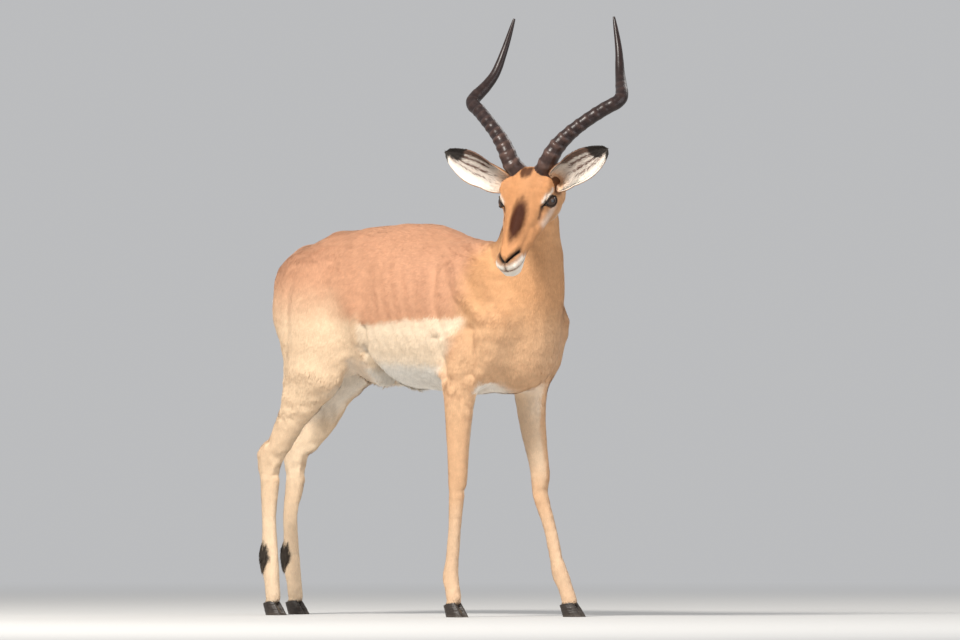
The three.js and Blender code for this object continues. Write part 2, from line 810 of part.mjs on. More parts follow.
function addHead() {
  add("head", makeHeadSolid(), "tan");
  for (const side of [LEFT, RIGHT]) {
    add(`horn_${sideName[side]}`, makeHorn(side), "dark");
    add(`ear_${sideName[side]}`, makeEar(side).subtract(makeHorn(side, GAP)), "tan");
    add(`eye_${sideName[side]}`, makeEye(side), "eye");
  }
}

function addTrunk() {
  const body = fleshIn([-630, -190, 480], [340, 190, 1120], CELLS.body, []);
  let trunk = body.intersect(sideOf(neckRoot.point, neckRoot.way.clone().negate(), 0));
  for (const side of [LEFT, RIGHT]) {
    trunk = trunk.subtract(joined(hindWedge(side, 0)));
    trunk = trunk.subtract(joined(foreWedge(side, FORE_MIDDLE[side], 0)));
  }
  add("trunk", trunk.subtract(makeTail(GAP)), "tan");
  add("tail", makeTail(), "tan");
  const ahead = sideOf(neckRoot.point, neckRoot.way, GAP);
  const below = sideOf(headRoot.point, headRoot.way.clone().negate(), 0);
  add("neck", body.intersect(ahead).intersect(below), "tan");
}

function addHooves(name, side, foot, heading, scale) {
  for (const clawSide of [LEFT, RIGHT]) {
    const place = clawSide === side ? "outer" : "inner";
    add(`hoof_${name}_${sideName[side]}_${place}`, makeClaw(side, foot, heading, clawSide, scale), "hoof");
  }
}

function addForeleg(side, heading) {
  const places = FORE_PLACES[side];
  const kneeTop = sideOf(vec(0, 0, KNEE_CUT), vec(0, 0, 1), GAP);
  const kneeBottom = sideOf(vec(0, 0, KNEE_CUT), vec(0, 0, -1), 0);
  const above = [(places.elbow[0] + places.foot[0]) / 2, side * 100];
  const upperBox = legBox(above, 130, 130, 75, KNEE_CUT - 40, 650);
  const upper = fleshIn(...upperBox, CELLS.foreUpper, [...foreWedge(side, FORE_MIDDLE[side], GAP), kneeTop]);
  add(`foreleg_upper_${sideName[side]}`, upper, "tan");

  const crown = coronet(side, places.foot, heading);
  const lowerBox = legBox([above[0], side * 108], 80, 100, 75, 1, KNEE_CUT + 40);
  const lower = fleshIn(...lowerBox, CELLS.lowerLeg, [kneeBottom, sideOf(crown.point, crown.way, 0)]);
  add(`foreleg_lower_${sideName[side]}`, lower, "tan");
  addHooves("fore", side, places.foot, heading, 1);
}

function addHindleg(side, heading) {
  const places = HIND_PLACES[side];
  const hockTop = sideOf(vec(0, 0, HOCK_CUT), vec(0, 0, 1), GAP);
  const hockBottom = sideOf(vec(0, 0, HOCK_CUT), vec(0, 0, -1), 0);
  const upperBox = legBox([-464, side * 95], 238, 237, 97, HOCK_CUT - 52, 900);
  const upper = fleshIn(...upperBox, CELLS.hindUpper, [...hindWedge(side, GAP), hockTop]);
  add(`hindleg_upper_${sideName[side]}`, upper.subtract(makeTail(GAP)), "tan");

  const crown = coronet(side, places.foot, heading);
  const lowerBox = legBox([places.foot[0], side * 80], 82, 78, 50, 1, HOCK_CUT + 40);
  const lower = fleshIn(...lowerBox, CELLS.lowerLeg, [hockBottom, sideOf(crown.point, crown.way, 0)]);
  add(`hindleg_lower_${sideName[side]}`, lower, "tan");
  addHooves("hind", side, places.foot, heading, 0.94);
}

addHead();
addTrunk();
addForeleg(RIGHT, radians(-3));
addForeleg(LEFT, radians(10));
addHindleg(RIGHT, radians(-2));
addHindleg(LEFT, radians(3));

// The origin is on the floor, under the middle of the whole animal.
const box = new THREE.Box3().setFromObject(impala);
const middle = box.getCenter(new THREE.Vector3());
impala.position.set(-middle.x, -middle.y, -box.min.z);

export default impala;
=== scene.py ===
"""An impala ram: skin, coat, eyes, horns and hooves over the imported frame.

Shapes are worked out in millimetres in two systems: the body's (x forward, y to its left, z up)
and the head's (towards the nose, to its left, out of the forehead). Meshes are written in metres.
"""
import math

import bmesh
import bpy
import numpy as np
from mathutils import Euler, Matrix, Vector
from mathutils.bvhtree import BVHTree


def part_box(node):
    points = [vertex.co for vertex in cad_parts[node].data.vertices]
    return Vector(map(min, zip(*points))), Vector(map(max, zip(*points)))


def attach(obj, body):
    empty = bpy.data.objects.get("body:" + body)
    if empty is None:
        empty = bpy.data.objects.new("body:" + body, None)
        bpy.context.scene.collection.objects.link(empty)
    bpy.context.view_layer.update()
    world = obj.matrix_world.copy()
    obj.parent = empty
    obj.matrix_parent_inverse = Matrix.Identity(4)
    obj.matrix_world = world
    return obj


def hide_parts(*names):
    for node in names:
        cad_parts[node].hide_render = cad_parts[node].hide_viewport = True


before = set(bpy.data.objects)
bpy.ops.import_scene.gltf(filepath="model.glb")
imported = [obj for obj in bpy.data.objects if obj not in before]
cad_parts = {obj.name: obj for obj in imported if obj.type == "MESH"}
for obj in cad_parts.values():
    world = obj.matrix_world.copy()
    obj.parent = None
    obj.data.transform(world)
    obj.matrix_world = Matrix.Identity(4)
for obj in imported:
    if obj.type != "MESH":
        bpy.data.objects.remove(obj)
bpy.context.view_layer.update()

MM = 0.001
TURN = 6.28  # a full turn, in radians, for waves
WAVES = 7  # sine waves in each noise
LEFT, RIGHT = 1, -1
SIDES = {"left": LEFT, "right": RIGHT}
rng = np.random.default_rng(7)

# ---- measures taken from the CAD
HEAD_PLACE = np.array([264.0, -155.0, 1026.0])  # forehead between the horns, in the body's system
HEAD_TURN = [math.radians(angle) for angle in (1.2, 56, -75)]
# columns: to the nose, to its left, out of the forehead
HEAD = np.array(Euler(HEAD_TURN).to_matrix())
EYE_PLACE = np.array([53.0, 54.0, -50.0])
EYE_RADIUS = 18.0
MUZZLE = (232, 0, -48)
POLL = (-66, 0, -80)  # where the head joins the neck
HEAD_MIDDLE, HEAD_REACH = (80, 0, -60), 290  # everything of the head lies this near its middle
ELBOW_LEVEL, LEG_TOP = 440, 500  # the legs' skin changes to the trunk's between these heights
TAIL_LINE = [(-552, 0, 822), (-591, 0, 768), (-590, 0, 700), (-574, 0, 636), (-555, 0, 556)]
HIND_HOCK = {RIGHT: (-562, 366), LEFT: (-624, 372)}  # x and z
FETLOCKS = {RIGHT: (-565, 108), LEFT: (-636, 108)}
FOOT_OUT = 80  # the hind feet stand this far from the middle


def node_centre(node):
    """The middle of a CAD node's box."""
    low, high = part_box(node)
    return np.array((low + high) / 2) / MM


def body_origin():
    """Where the body's own system starts in the row frame, found from the two eyes."""
    seen = (node_centre("eye_left") + node_centre("eye_right")) / 2
    return seen - (HEAD_PLACE + HEAD @ (EYE_PLACE * (1, 0, 1)))


ORIGIN = body_origin()


def to_head(p):
    """Points of the body's system in the head's."""
    return (p - HEAD_PLACE) @ HEAD


def from_head(q):
    """Points of the head's system in the body's."""
    return np.asarray(q, float) @ HEAD.T + HEAD_PLACE


# ---- small numeric helpers
def step(low, high, value):
    """0 before low, 1 after high, smooth between; low may be above high."""
    t = np.clip((value - low) / (high - low), 0, 1)
    return t * t * (3 - 2 * t)


def bump(distance, width):
    """1 at no distance, falling away like a bell over the width."""
    return np.exp(-((distance / width) ** 2))


def norm(v):
    """The length of each vector."""
    return np.linalg.norm(v, axis=-1)


def unit(v):
    """Each vector's direction."""
    return v / np.maximum(norm(v)[..., None], 1e-9)


def to_piece(p, a, b):
    """Distance from each point to the straight piece between two ends."""
    t = np.clip((p - a) @ (b - a) / ((b - a) @ (b - a)), 0, 1)
    return norm(p - a - t[:, None] * (b - a))


def to_path(p, path):
    """Distance from each point to a line of straight pieces, in as many axes as the path has."""
    return np.min([to_piece(p, a, b) for a, b in pairs(np.asarray(path, float))], axis=0)


def pairs(line):
    """Each point of a line with the next."""
    return list(zip(line[:-1], line[1:]))


def wavy(p, size, seed=0):
    """Smooth noise from about -1 to 1 with features of the given size, from a few sine waves."""
    waves = np.random.default_rng(seed)
    total = np.zeros(len(p))
    for _ in range(WAVES):
        way = unit(waves.normal(size=3))
        total += np.sin(p @ way * (TURN / size) * waves.uniform(0.6, 1.5) + waves.uniform(0, TURN))
    return total / (WAVES / 2)


# ---- meshes
def make_object(name, vertices, faces, material, colours=None):
    """A mesh object from points in millimetres of the body's system, with a colour for each."""
    mesh = bpy.data.meshes.new(name)
    points = (np.asarray(vertices, float) + ORIGIN) * MM
    faces = np.asarray(faces)
    count, corners = faces.shape
    mesh.vertices.add(len(points))
    mesh.vertices.foreach_set("co", points.ravel())
    mesh.loops.add(count * corners)
    mesh.loops.foreach_set("vertex_index", faces.ravel().astype(np.int32))
    mesh.polygons.add(count)
    mesh.polygons.foreach_set("loop_start", np.arange(0, count * corners, corners, dtype=np.int32))
    mesh.update(calc_edges=True)
    mesh.polygons.foreach_set("use_smooth", np.full(count, True))
    mesh.materials.append(material)
    if colours is not None:
        layer = mesh.color_attributes.new("coat", "FLOAT_COLOR", "POINT")
        layer.data.foreach_set("color", np.hstack([colours, np.ones((len(colours), 1))]).ravel())
    obj = bpy.data.objects.new(name, mesh)
    bpy.context.scene.collection.objects.link(obj)
    return obj


def mesh_arrays(mesh):
    """Points in millimetres of the body's system, and triangles."""
    points = np.empty(len(mesh.vertices) * 3)
    mesh.vertices.foreach_get("co", points)
    mesh.calc_loop_triangles()
    triangles = np.empty(len(mesh.loop_triangles) * 3, np.int32)
    mesh.loop_triangles.foreach_get("vertices", triangles)
    return points.reshape(-1, 3) / MM - ORIGIN, triangles.reshape(-1, 3)


def point_normals(p, triangles):
    """Outward directions at the points, from the triangles round them."""
    a, b, c = (p[triangles[:, i]] for i in range(3))
    face = np.cross(b - a, c - a)
    total = np.zeros_like(p)
    for i in range(3):
        for axis in range(3):
            total[:, axis] += np.bincount(triangles[:, i], face[:, axis], len(p))
    return unit(total)


def smoothed(p, triangles, rounds, amount, pull=0.55, release=-0.57):
    """Rubs out facets without shrinking: each round pulls in, then lets out a little more."""
    edges = np.vstack([triangles[:, [0, 1]], triangles[:, [1, 2]], triangles[:, [2, 0]]])
    edges = np.unique(np.sort(edges, axis=1), axis=0)
    ends = np.vstack([edges, edges[:, ::-1]])
    order = np.argsort(ends[:, 0], kind="stable")
    source, target = ends[order, 0], ends[order, 1]
    starts = np.searchsorted(source, np.arange(len(p)))
    degree = np.bincount(source, minlength=len(p))[:, None]
    for turn in range(2 * rounds):
        factor = pull if turn % 2 == 0 else release
        mean = np.add.reduceat(p[target], starts, axis=0) / degree
        p = p + factor * amount[:, None] * (mean - p)
    return p


# ---- the skin's plain form
LEG_PARTS = ("foreleg_upper", "foreleg_lower", "hindleg_upper", "hindleg_lower")
LEGS = [f"{part}_{side}" for part in LEG_PARTS for side in SIDES]
HOOVES = [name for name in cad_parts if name.startswith("hoof_")]
EYES = ["eye_left", "eye_right"]
FLESH = ["head", "neck", "trunk", "tail"] + LEGS
VOXEL, HOOF_VOXEL = 5.0, 1.5  # the grids that skin and hooves are first laid on
EYE_FINE, MUZZLE_FINE = 36, 44  # the finest skin reaches this far from their middles
BODY_ROUNDS, SLIM_ROUNDS, DRIFT_ROUNDS = 26, 12, 28  # of smoothing
BODY_DEPTH, LEG_DEPTH, FACE_DEPTH = 1.6, 1.0, 0.8  # how far the skin lies under the CAD
MOST_DRIFT = 7  # smoothing moves the skin no farther than this from the CAD
ABOVE_FLOOR = 0.3  # the lowest that skin and hair reach


def gather(names):
    """The triangles of several CAD nodes as one loose mesh."""
    points, triangles, start = [], [], 0
    for name in names:
        p, t = mesh_arrays(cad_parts[name].data)
        points.append(p)
        triangles.append(t + start)
        start += len(p)
    return np.vstack(points), np.vstack(triangles)


def remeshed(points, triangles, size):
    """One closed surface round everything, on a grid of the given size."""
    holder = make_object("remesh", points, triangles, None)
    modifier = holder.modifiers.new("grid", "REMESH")
    modifier.mode = "VOXEL"
    modifier.voxel_size = size * MM
    evaluated = holder.evaluated_get(bpy.context.evaluated_depsgraph_get())
    mesh = bpy.data.meshes.new_from_object(evaluated)
    bpy.data.objects.remove(holder)
    return mesh


def largest_shell(mesh):
    """Drops small shells that the cuts between the nodes leave inside."""
    work = bmesh.new()
    work.from_mesh(mesh)
    left, shells = set(work.verts), []
    while left:
        stack = [left.pop()]
        shell = set(stack)
        while stack:
            here = stack.pop()
            near = {edge.other_vert(here) for edge in here.link_edges} & left
            left -= near
            shell |= near
            stack += near
        shells.append(shell)
    keep = max(shells, key=len)
    bmesh.ops.delete(work, geom=[v for v in work.verts if v not in keep], context="VERTS")
    return work


def refine(work, chosen):
    """Halves the edges of the faces whose points are all chosen."""
    work.verts.ensure_lookup_table()
    p = np.array([v.co for v in work.verts]) / MM - ORIGIN
    wanted = chosen(p)
    edges = [e for e in work.edges if wanted[e.verts[0].index] and wanted[e.verts[1].index]]
    bmesh.ops.subdivide_edges(work, edges=edges, cuts=1, use_grid_fill=True)
    work.verts.index_update()


def head_share(p):
    """1 on the head, 0 on the neck and body."""
    q = to_head(p)
    ahead = (q - POLL) @ np.array([0.36, 0, 0.933])
    near = step(HEAD_REACH + 40, HEAD_REACH, norm(q - HEAD_MIDDLE))
    return step(-16, 10, ahead) * near


def leg_share(p):
    """1 on the legs below the elbow and the stifle, 0 on the trunk."""
    return step(LEG_TOP, ELBOW_LEVEL, p[:, 2])


def tail_share(p):
    """1 on the hanging tail, 0 on the rump."""
    return step(26, 20, to_path(p, TAIL_LINE)) * step(800, 770, p[:, 2])


def as_triangles(work, mesh):
    """Cuts a work mesh into triangles, lays it in a mesh and gives its points and triangles."""
    bmesh.ops.triangulate(work, faces=work.faces[:])
    work.to_mesh(mesh)
    work.free()
    p, triangles = mesh_arrays(mesh)
    bpy.data.meshes.remove(mesh)
    return p, triangles


def skin_form():
    """The flesh as one smooth surface, finer on the head and finest round the eyes and mouth."""
    mesh = remeshed(*gather(FLESH + HOOVES + EYES), VOXEL)
    work = largest_shell(mesh)
    refine(work, lambda p: head_share(p) > 0.3)
    refine(work, near_features)
    p, triangles = as_triangles(work, mesh)
    slim = np.maximum(leg_share(p), tail_share(p))
    face = head_share(p)
    p = smoothed(p, triangles, BODY_ROUNDS, (1 - slim) * (1 - 0.6 * face))
    p = smoothed(p, triangles, SLIM_ROUNDS, np.maximum(slim, face))
    return pulled_back(p, triangles, FLESH + HOOVES + EYES), triangles


# ---- eyes: where the lids open
EYE_OUT = unit(np.array([0.28, 0.87, 0.41]))  # the way the left eye looks, in the head's system
EYE_BACK = unit(np.array([-0.834, 0.438, -0.342]))  # along the lids to the rear corner
LID_LONG, LID_HIGH = 20.5, 10.0  # half-lengths of the opening, along the ball
LID_RADIUS = EYE_RADIUS + 1.2
EYE_FIELD = 30.0  # how far from the eye's centre its lids and marks reach
FAR_AWAY = 9.0  # an almond distance that no lid or mark reaches


def eye_frame(side):
    """Centre, outward, rearward and upward directions of an eye in the head's system."""
    mirror = np.array([1, side, 1])
    out = EYE_OUT * mirror
    back = unit(EYE_BACK * mirror - out * (EYE_BACK * mirror @ out))
    up = np.cross(back, out) * -side
    return EYE_PLACE * mirror, out, back, up


def eye_place(q, side):
    """Distance from the eye's centre, place on the almond (1 on the lids' edge), and height."""
    centre, out, back, up = eye_frame(side)
    offset = q - centre
    reach = norm(offset)
    way = unit(offset)
    along = np.arctan2(way @ back, way @ out) * EYE_RADIUS
    high = np.arctan2(way @ up, way @ out) * EYE_RADIUS
    narrow = 1 - 0.35 * np.clip(along / LID_LONG, -1, 1) ** 2
    almond = np.hypot(along / LID_LONG, high / (LID_HIGH * narrow))
    almond = np.where(way @ out > 0.05, almond, FAR_AWAY)
    almond = almond + 8 * step(EYE_FIELD, EYE_FIELD + 8, reach)
    return reach, almond, high


def near_features(p):
    """The lids, the nostrils and the mouth, which take the finest skin."""
    q = to_head(p)
    eyes = np.minimum(*[norm(q - eye_frame(side)[0]) for side in (LEFT, RIGHT)])
    muzzle = norm(q - MUZZLE)
    return (head_share(p) > 0.9) & ((eyes < EYE_FINE) | (muzzle < MUZZLE_FINE))


def open_lids(q):
    """Folds the skin into lids that lie on the eyeball and part along an almond."""
    for side in (LEFT, RIGHT):
        reach, almond, high = eye_place(q, side)
        centre = eye_frame(side)[0]
        rim = LID_RADIUS + 1.5 * bump(almond - 1.14, 0.1) + 0.8 * step(0, 6, high)
        lid = np.where(almond < 1.0, EYE_RADIUS - 4.0, rim)
        share = step(2.2, 1.3, almond)
        wanted = reach + share * (lid - reach)
        crease = 1.3 * bump(almond - 1.75, 0.16) * step(0, 5, high)
        q = centre + unit(q - centre) * (wanted - crease)[:, None]
    return q


# ---- the skin's relief
# lines on the left half of the face; the right half mirrors them
FACE_LINES = {
    "nostril": [(237, 4, -25), (226, 14, -24), (212, 21, -28), (200, 26, -35)],
    "nostril_wing": [(238, 9, -32), (222, 24, -33), (202, 30, -42)],
    "nostril_roof": [(228, 6, -18), (210, 14, -20), (194, 20, -27)],
    "philtrum": [(240, 0, -26), (251, 0, -45)],
    "mouth": [(251, 0, -46), (247, 14, -46), (238, 26, -47), (217, 32, -55), (188, 33, -66),
              (168, 35, -72)],
    "lip": [(246, 7, -38), (238, 20, -39), (216, 29, -45)],
    "chin": [(246, 5, -64), (232, 14, -68)],
    "brow": [(26, 56, -22), (48, 61, -24), (72, 52, -34)],
    "tear": [(80, 47, -40), (92, 45, -43), (106, 44, -46)],
    "corner": [(62, 54, -40), (72, 50, -39), (80, 47, -39)],
    "tear_hollow": [(92, 44, -46), (124, 38, -48)],
    "cheekbone": [(44, 60, -84), (78, 58, -74), (124, 47, -64), (160, 36, -58)],
    "nose_hollow": [(140, 30, -40), (190, 25, -40)],
    "jaw": [(10, 52, -108), (70, 50, -104), (130, 40, -88)],
    "white_over": [(70, 48, -35), (54, 57, -29), (36, 66, -31)],
    "white_under": [(52, 64, -70), (78, 60, -66), (112, 48, -60)],
    "nasal_ridge": [(60, 0, -12), (130, 0, -20), (196, 0, -22)],
}


def on_skin(place, q):
    """The nearest point of the skin, kept on the head's middle line if the place is there."""
    x, y, z = q[np.argmin(np.sum((q - np.array(place)) ** 2, axis=1))]
    return x, 0 if place[1] == 0 else abs(y), z


def lay_face_lines(q):
    """Moves the face's lines onto the skin."""
    for name, path in FACE_LINES.items():
        FACE_LINES[name] = [on_skin(place, q) for place in path]


def folded(q):
    """The head's points with the right half laid over the left."""
    return np.column_stack([q[:, 0], np.abs(q[:, 1]), q[:, 2]])


def to_line(q, name):
    """Distance to a line of the face or to its mirror image."""
    return to_path(folded(q), FACE_LINES[name])


# how far each line stands out (or lies in, where negative) and how wide it is
FACE_RELIEF = {
    "brow": (3.2, 9), "tear_hollow": (-3.4, 10), "cheekbone": (2.8, 9), "nose_hollow": (-2.6, 9),
    "jaw": (1.6, 14), "nasal_ridge": (1.4, 12), "nostril_wing": (2.0, 4.5),
    "nostril_roof": (1.8, 4.5), "nostril": (-8.0, 3.0), "lip": (1.8, 5), "mouth": (-3.6, 2.2),
    "philtrum": (-1.8, 1.8), "chin": (2.2, 8),
}


def head_relief(q):
    """How far each point of the head moves outwards: bones and folds up, hollows down."""
    return sum(amount * bump(to_line(q, name), width)
               for name, (amount, width) in FACE_RELIEF.items())


THIGH_FOLD = [(-236, 662), (-239, 632), (-251, 606)]  # the fold of skin in front of the thigh
RIB_SPACING, RIB_HEIGHT, RIB_SLANT = 31, 0.35, 0.28
# lines on the flank in x and z, their width, and how far they stand out or lie in
FLANK_RELIEF = [
    ([(0, 812), (40, 742), (110, 684)], 16, 6.5),  # ridge of the shoulder blade
    ([(-44, 800), (-30, 720), (-10, 650)], 15, -6.0),  # hollow behind the shoulder
    ([(60, 770), (100, 720)], 20, -4.0),  # hollow in front of the blade
    ([(16, 640), (26, 600), (24, 570)], 22, 9.0),  # triceps and elbow
    ([(-28, 640), (-20, 590), (-6, 556)], 12, -6.0),  # crease behind the elbow
    ([(70, 660), (76, 600), (70, 560)], 15, -9.0),  # groove between arm and breast
    ([(116, 640), (128, 590)], 24, 6.0),  # breast
    ([(-240, 790), (-250, 740)], 30, -7.0),  # hungry hollow of the flank
    (THIGH_FOLD, 9, -9.0),
    ([(-262, 690), (-268, 640)], 14, 4.0),  # front edge of the thigh
    ([(-392, 846), (-404, 838)], 26, 5.0),  # point of the hip
    ([(-470, 812), (-482, 740), (-478, 650), (-500, 560)], 13, -3.5),  # groove along the buttock
    ([(-330, 800), (-392, 730), (-400, 640)], 24, 2.0),  # the thigh's long muscle
]


def body_relief(p, normals):
    """Muscles, folds and ribs of the trunk and the tendons of the legs."""
    height = np.zeros(len(p))
    outward = np.clip(normals[:, 1] * np.sign(p[:, 1]), 0, 1)
    flat = p[:, [0, 2]]
    for path, width, amount in FLANK_RELIEF:
        height += amount * bump(to_path(flat, path), width) * outward
    slant = p[:, 0] + RIB_SLANT * (p[:, 2] - 700)
    ribs = step(-230, -190, p[:, 0]) * step(-50, -80, p[:, 0]) * step(570, 620, p[:, 2])
    ribs *= step(820, 760, p[:, 2]) * outward
    height += RIB_HEIGHT * np.sin(slant * (TURN / RIB_SPACING)) * ribs
    return height - leg_hollows(p, flat, np.abs(normals[:, 1]))


def leg_hollows(p, flat, sideways):
    """The hollow in front of each hock's tendon, and the groove along each hind cannon bone."""
    depth = np.zeros(len(p))
    for side, (x, z) in HIND_HOCK.items():
        here = (np.sign(p[:, 1]) == side) & (p[:, 2] < LEG_TOP)
        tendon = [(x + 42, z + 92), (x + 2, z + 34)]
        cannon = [(x + 2, z - 60), (x + 2, z - 230)]
        for path, width, amount in [(tendon, 9, 4.0), (cannon, 5, 1.4)]:
            depth[here] += amount * bump(to_path(flat[here], path), width) * sideways[here]
    return depth


def pulled_back(p, triangles, names):
    """Moves smoothed skin back to the CAD's surface where it has drifted, and keeps it smooth."""
    tree = BVHTree.FromPolygons(*[a.tolist() for a in gather(names)])
    normals = point_normals(p, triangles)
    drift = np.zeros((len(p), 1))
    for i, (point, normal) in enumerate(zip(p, normals)):
        near = tree.find_nearest(point.tolist(), 2 * MOST_DRIFT)[0]
        if near is not None:
            drift[i] = np.clip((np.array(near) - point) @ normal, -MOST_DRIFT, MOST_DRIFT)
    drift = smoothed(drift, triangles, DRIFT_ROUNDS, np.ones(len(p)), pull=0.6, release=0.0)
    return p + normals * drift


def coat_depth(p):
    """How far the skin lies under the coat's tips: least on the face and feet."""
    depth = BODY_DEPTH + (LEG_DEPTH - BODY_DEPTH) * leg_share(p)
    return depth + (FACE_DEPTH - depth) * head_share(p)


def make_skin_form():
    """The plain form, the same points as finished skin with its relief and lids, and triangles."""
    p, triangles = skin_form()
    plain = p
    normals = point_normals(p, triangles)
    q = to_head(p)
    face = head_share(p)
    lay_face_lines(q)
    height = body_relief(p, normals) * (1 - face) + head_relief(q) * face - coat_depth(p)
    p = p + normals * height[:, None]
    opened = from_head(open_lids(to_head(p)))
    p = np.where(face[:, None] > 0.9, opened, p)
    p[:, 2] = np.maximum(p[:, 2], ABOVE_FLOOR)
    return plain, p, triangles


# ---- markings
SADDLE = (0.54, 0.285, 0.17)
LIMB = (0.65, 0.40, 0.23)
THIGH = (0.72, 0.53, 0.355)
NECK = (0.56, 0.30, 0.145)
CREAM = (0.80, 0.65, 0.48)
WHITE = (0.84, 0.79, 0.71)
UMBER = (0.085, 0.034, 0.018)
BLACK = (0.014, 0.012, 0.011)
BRIDGE = (0.05, 0.011, 0.002)
HEAD_TAN = (0.52, 0.25, 0.11)


def one_colour(colour, count):
    """The same colour for each of many points."""
    return np.tile(colour, (count, 1)).astype(float)


def layered(colours, *layers):
    """Lays colours over others in turn, each as much as its share says."""
    for colour, share in layers:
        colours = colours + (np.asarray(colour) - colours) * np.clip(share, 0, 1)[:, None]
    return colours


def body_markings(p, normals):
    """Red-brown saddle, tan limbs and neck, a cream band on the flank and a white belly."""
    x, z = p[:, 0] + 7 * wavy(p, 60, 1), p[:, 2] + 4 * wavy(p, 45, 2)
    clean, out = p[:, 0] + 3 * wavy(p, 40, 4), np.abs(p[:, 1])
    outward = normals[:, 1] * np.sign(p[:, 1])
    line = 676 + 0.055 * (p[:, 0] + 256)  # height of the saddle's lower edge
    drop = np.maximum(695 - p[:, 2], 0)
    arm = 62 - 58 * (1 - np.exp(-drop / 45)) - 0.12 * drop  # rear edge of the upper foreleg
    behind = step(line + 34, line - 10, z) * step(-232, -262, clean)
    band = step(line + 7, line - 7, z) * step(-260, -252, clean) * step(arm + 26, arm - 26, x)
    belly = step(592, 566, z) * step(-262, -250, clean) * step(arm + 6, arm - 14, x)
    under = step(-0.35, -0.75, normals[:, 2]) * step(-520, -470, x) * step(140, 80, x)
    under *= step(490, 520, z) * step(128, 104, out) * (0.4 + 0.6 * step(-290, -240, x))
    under *= np.maximum(step(-10, -40, x), step(552, 534, z))
    legs = step(540, 490, z) * (1 - under)
    armpit = np.hypot((x - 6) / 46, (z - 560) / 44)
    inner = step(0.0, -0.6, outward) * step(250, 380, z) * step(640, 560, z)
    pale = step(430, 500, z) * (0.2 * step(60, 110, x) + 0.6 * step(-200, -300, x))
    # the fold in front of the thigh is darkened: partly its darker skin, partly painted shade
    fold_dark_skin_and_shade = bump(to_path(p[:, [0, 2]], THIGH_FOLD), 4.5) * step(0.1, 0.4, outward)
    spine = bump(p[:, 1], 16) * step(0.5, 0.9, normals[:, 2]) * step(90, 20, x)
    return rump_markings(p, normals, layered(
        one_colour(SADDLE, len(p)),
        (NECK, step(10, 80, x)),
        (THIGH, step(800, 640, z) * step(-270, -360, x)),
        (LIMB, step(760, 600, z) * step(-20, 60, x)),
        (THIGH, behind),
        (CREAM, 0.95 * band),
        (WHITE, belly * step(430, 470, z)),
        (WHITE, 0.9 * under),
        (LIMB, legs * step(-300, -200, x)),
        (THIGH, legs * step(-200, -300, x)),
        (LIMB, 0.9 * step(1.3, 0.8, armpit) * step(70, 90, out)),
        (CREAM, 0.6 * inner),
        (WHITE, inner * pale),
        (CREAM, 0.35 * step(320, 180, z)),
        # painted shade and darker skin along the thigh's fold
        (UMBER, 0.32 * fold_dark_skin_and_shade * step(676, 650, z)),
        (UMBER, 0.2 * spine),
    ))


def rump_markings(p, normals, colours):
    """White round the tail with a black stripe down each side, the tail, fetlocks and pasterns."""
    x, y, z = p.T
    tail = tail_share(p)
    rear = step(-0.25, -0.7, normals[:, 0]) * step(-440, -480, x) * (1 - tail)
    rear *= step(520, 600, z) * step(850, 815, z)
    stripe = bump(np.abs(y) - 68, 6.5) * rear * step(560, 620, z)
    dark = tail * step(11, 6, np.abs(y)) * step(0.1, -0.4, normals[:, 0]) * step(560, 590, z)
    patches = [fetlock_tuft(p, side, 12, (23, 22, 34)) + 0.12 * wavy(p, 12, 5) for side in FETLOCKS]
    return layered(
        colours,
        (WHITE, rear * step(66, 58, np.abs(y))),
        (BLACK, 0.95 * stripe),
        (WHITE, tail),
        (BLACK, 0.9 * dark),
        *[(BLACK, 0.96 * step(1.12, 0.92, patch)) for patch in patches],
        (BLACK, 0.9 * step(36, 31, z)),
    )


def fetlock_tuft(p, side, back, size):
    """Distance from the tuft above a hind fetlock: 1 on an egg of the given half-sizes."""
    x, z = FETLOCKS[side]
    return norm((p - (x - back, side * FOOT_OUT, z + 32)) / size)


def head_markings(q):
    """Dark bridge and spots, painted shade round the ear roots, a white throat, black eyes and the
    pale marks by them.
    """
    forward, up = q[:, 0] + 2 * wavy(q, 18, 3), q[:, 2]
    width = 19 - 0.05 * (forward - 130)
    bridge = np.hypot((forward - 128) / 58, (q[:, 1] - 4) / width) + 0.06 * wavy(q, 12, 6)
    spot = np.hypot((forward - 2) / 18, (np.abs(q[:, 1]) - 6) / 10)
    crown = step(-30, -44, forward) * step(-60, -30, up)
    root = norm(folded(q) - EAR_LINE[0])
    tan = layered(
        one_colour(HEAD_TAN, len(q)),
        (NECK, step(-60, -90, up)),
        (BRIDGE, step(1.35, 0.6, bridge) * step(-46, -38, up)),
        (BRIDGE, 0.9 * step(1.25, 0.6, spot) * step(-36, -26, up)),
        (UMBER, 0.2 * crown),
        # painted shade: the head round each ear's root is darkened
        (UMBER, 0.85 * step(42, 28, root)),
        (WHITE, 0.8 * step(-92, -112, up) * step(20, 80, forward)),
    )
    for side in (LEFT, RIGHT):
        almond = eye_place(q, side)[1]
        lids = step(2.2, 1.5, almond) * bump(to_line(q, "white_over"), 7)
        tan = layered(tan, (CREAM, 0.6 * lids), (BLACK, 0.97 * step(1.62, 1.42, almond)))
    return muzzle_markings(q, forward, up, layered(
        tan,
        (WHITE, 0.7 * bump(to_line(q, "white_over"), 3.5)),
        (WHITE, 0.42 * bump(to_line(q, "white_under"), 9)),
        (UMBER, 0.85 * bump(to_line(q, "tear"), 4.5)),
        (BLACK, 1.2 * bump(to_line(q, "corner"), 4.0)),
    ))


